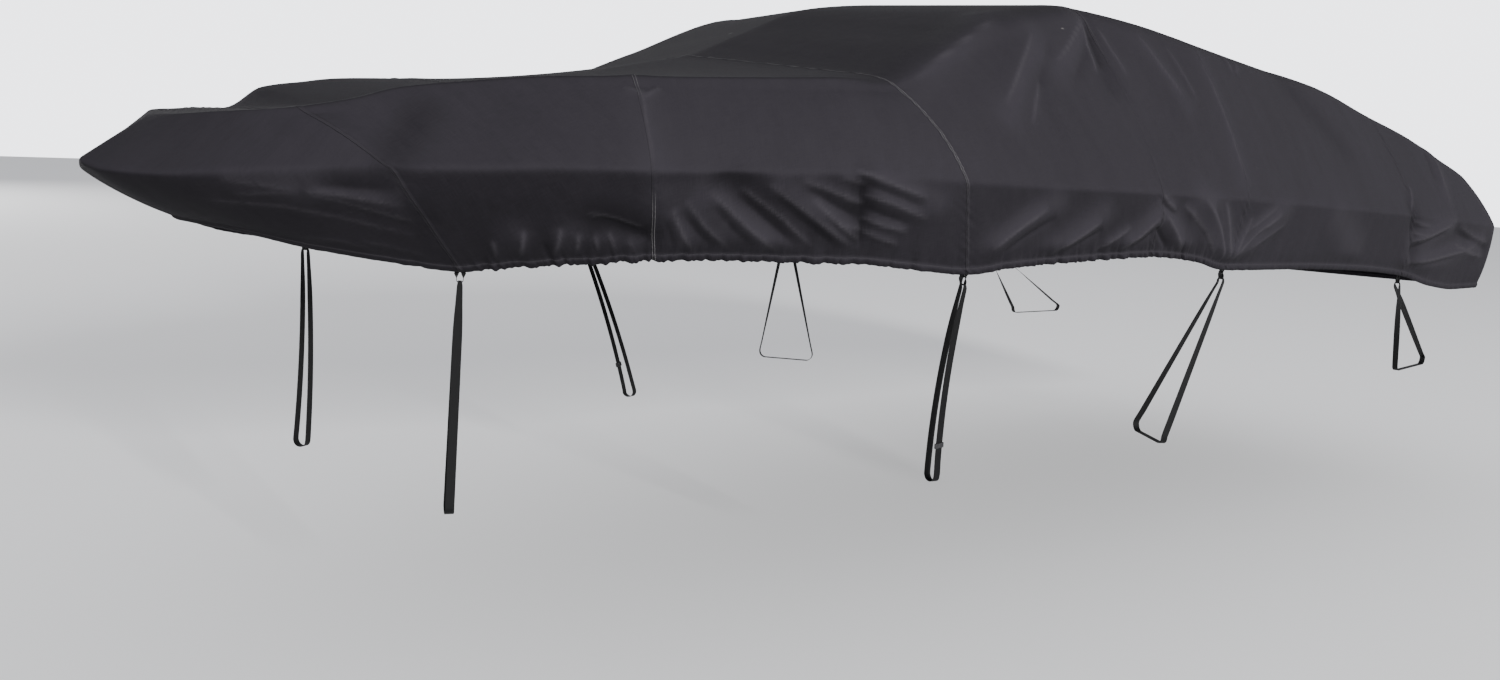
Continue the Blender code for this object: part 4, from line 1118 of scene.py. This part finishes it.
def strap_path(key):
    """A strap's ring, port side: over the hem loop, down both legs and round the foot."""
    row, seat, foot_x, foot_y, foot_z, gap, turn, sag = TIES[key]
    sewn, _, up, out = hem_frame(row, seat)
    along = out.cross(Vector((0, 0, 1)))
    fold_gauge = FOLD_PATH[0][3]
    gathered = FOLD_PATH[-1][2]
    lift = HEM_THICK - TAB_DROP + LOOP_GAUGE / 2 + CLEAR + fold_gauge / 2
    top = sewn - up * HEM_THICK + Vector((0, 0, lift))
    foot = Vector((foot_x, foot_y, foot_z + STRAP_GAUGE / 2))
    heading = Vector((np.cos(np.radians(turn)), np.sin(np.radians(turn)), 0))
    if heading.dot(out) < 0:
        heading = -heading
    corner = min(FOOT_CORNER, gap * FOOT_CORNER_SHARE)

    def leg(sign):
        path = []
        for across, height, width, gauge in FOLD_PATH[1:]:
            spot = top + out * sign * across + Vector((0, 0, height))
            path.append((spot, along, width, gauge))
        start = path[-1][0]
        end = foot + heading * sign * gap / 2 + Vector((0, 0, corner))
        for k in range(1, LEG_STEPS + 1):
            share = k / LEG_STEPS
            spot = start.lerp(end, share) + out * -sag * 4 * share * (1 - share)
            facing = out.lerp(heading, min(1.0, share / TWISTED_BY)).normalized()
            width = gathered + (STRAP_WIDE - gathered) * min(1.0, share / SPREAD_BY)
            path.append((spot, Vector((0, 0, 1)).cross(facing) * -1, width, STRAP_GAUGE))
        flat = Vector((0, 0, 1)).cross(heading) * -1
        for degrees in (30, 60, 90):
            a = np.radians(degrees)
            shift = heading * sign * (gap / 2 - corner + corner * np.cos(a))
            spot = foot + shift + Vector((0, 0, corner - corner * np.sin(a)))
            path.append((spot, flat, STRAP_WIDE, STRAP_GAUGE))
        return path

    width, gauge = FOLD_PATH[0][2:]
    return [(top, along, width, gauge)] + leg(1) + leg(-1)[::-1]


for key in TIES:
    rows = densify(strap_path(key), True, 4)
    for word, side in SIDES.items():
        mesh = webbing_mesh(f"strap_{key}_{word}_webbing", rows, True, side)
        shown(f"tie_{key}_{word}", mesh, black_webbing, f"strap_{key}_{word}")

# ------------------------------------------------------------------------------ slides
# A small moulded slide takes up the slack of the second strap, a side. Black acetal with a polished
# face that catches the light.
SLIDE_DEEP = (0.010, 0.010, 0.011, 1)
SLIDE_SCUFFED = (0.075, 0.073, 0.070, 1)
slide_black, shader, dye = finish_named("slide_black", {"Specular IOR Level": 0.55})
spot = dye.node("ShaderNodeTexCoord", None, None, 3)
grain = dye.noise(spot, 900.0, 3.0, 0.6) - 0.5
rubbed = dye.noise(spot, 120.0, 5.0, 0.7).between(0.52, 0.74)
colour = (rubbed * 0.6).tint(SLIDE_DEEP, SLIDE_SCUFFED)
height = grain * 0.00006 - rubbed * 0.00005
feed(shader, dye, colour, 0.24 + rubbed * 0.34 + grain * 0.1, height)
for word in SIDES:
    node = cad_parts[f"slide_2_{word}"]
    for place in node.material_slots:
        place.material = slide_black
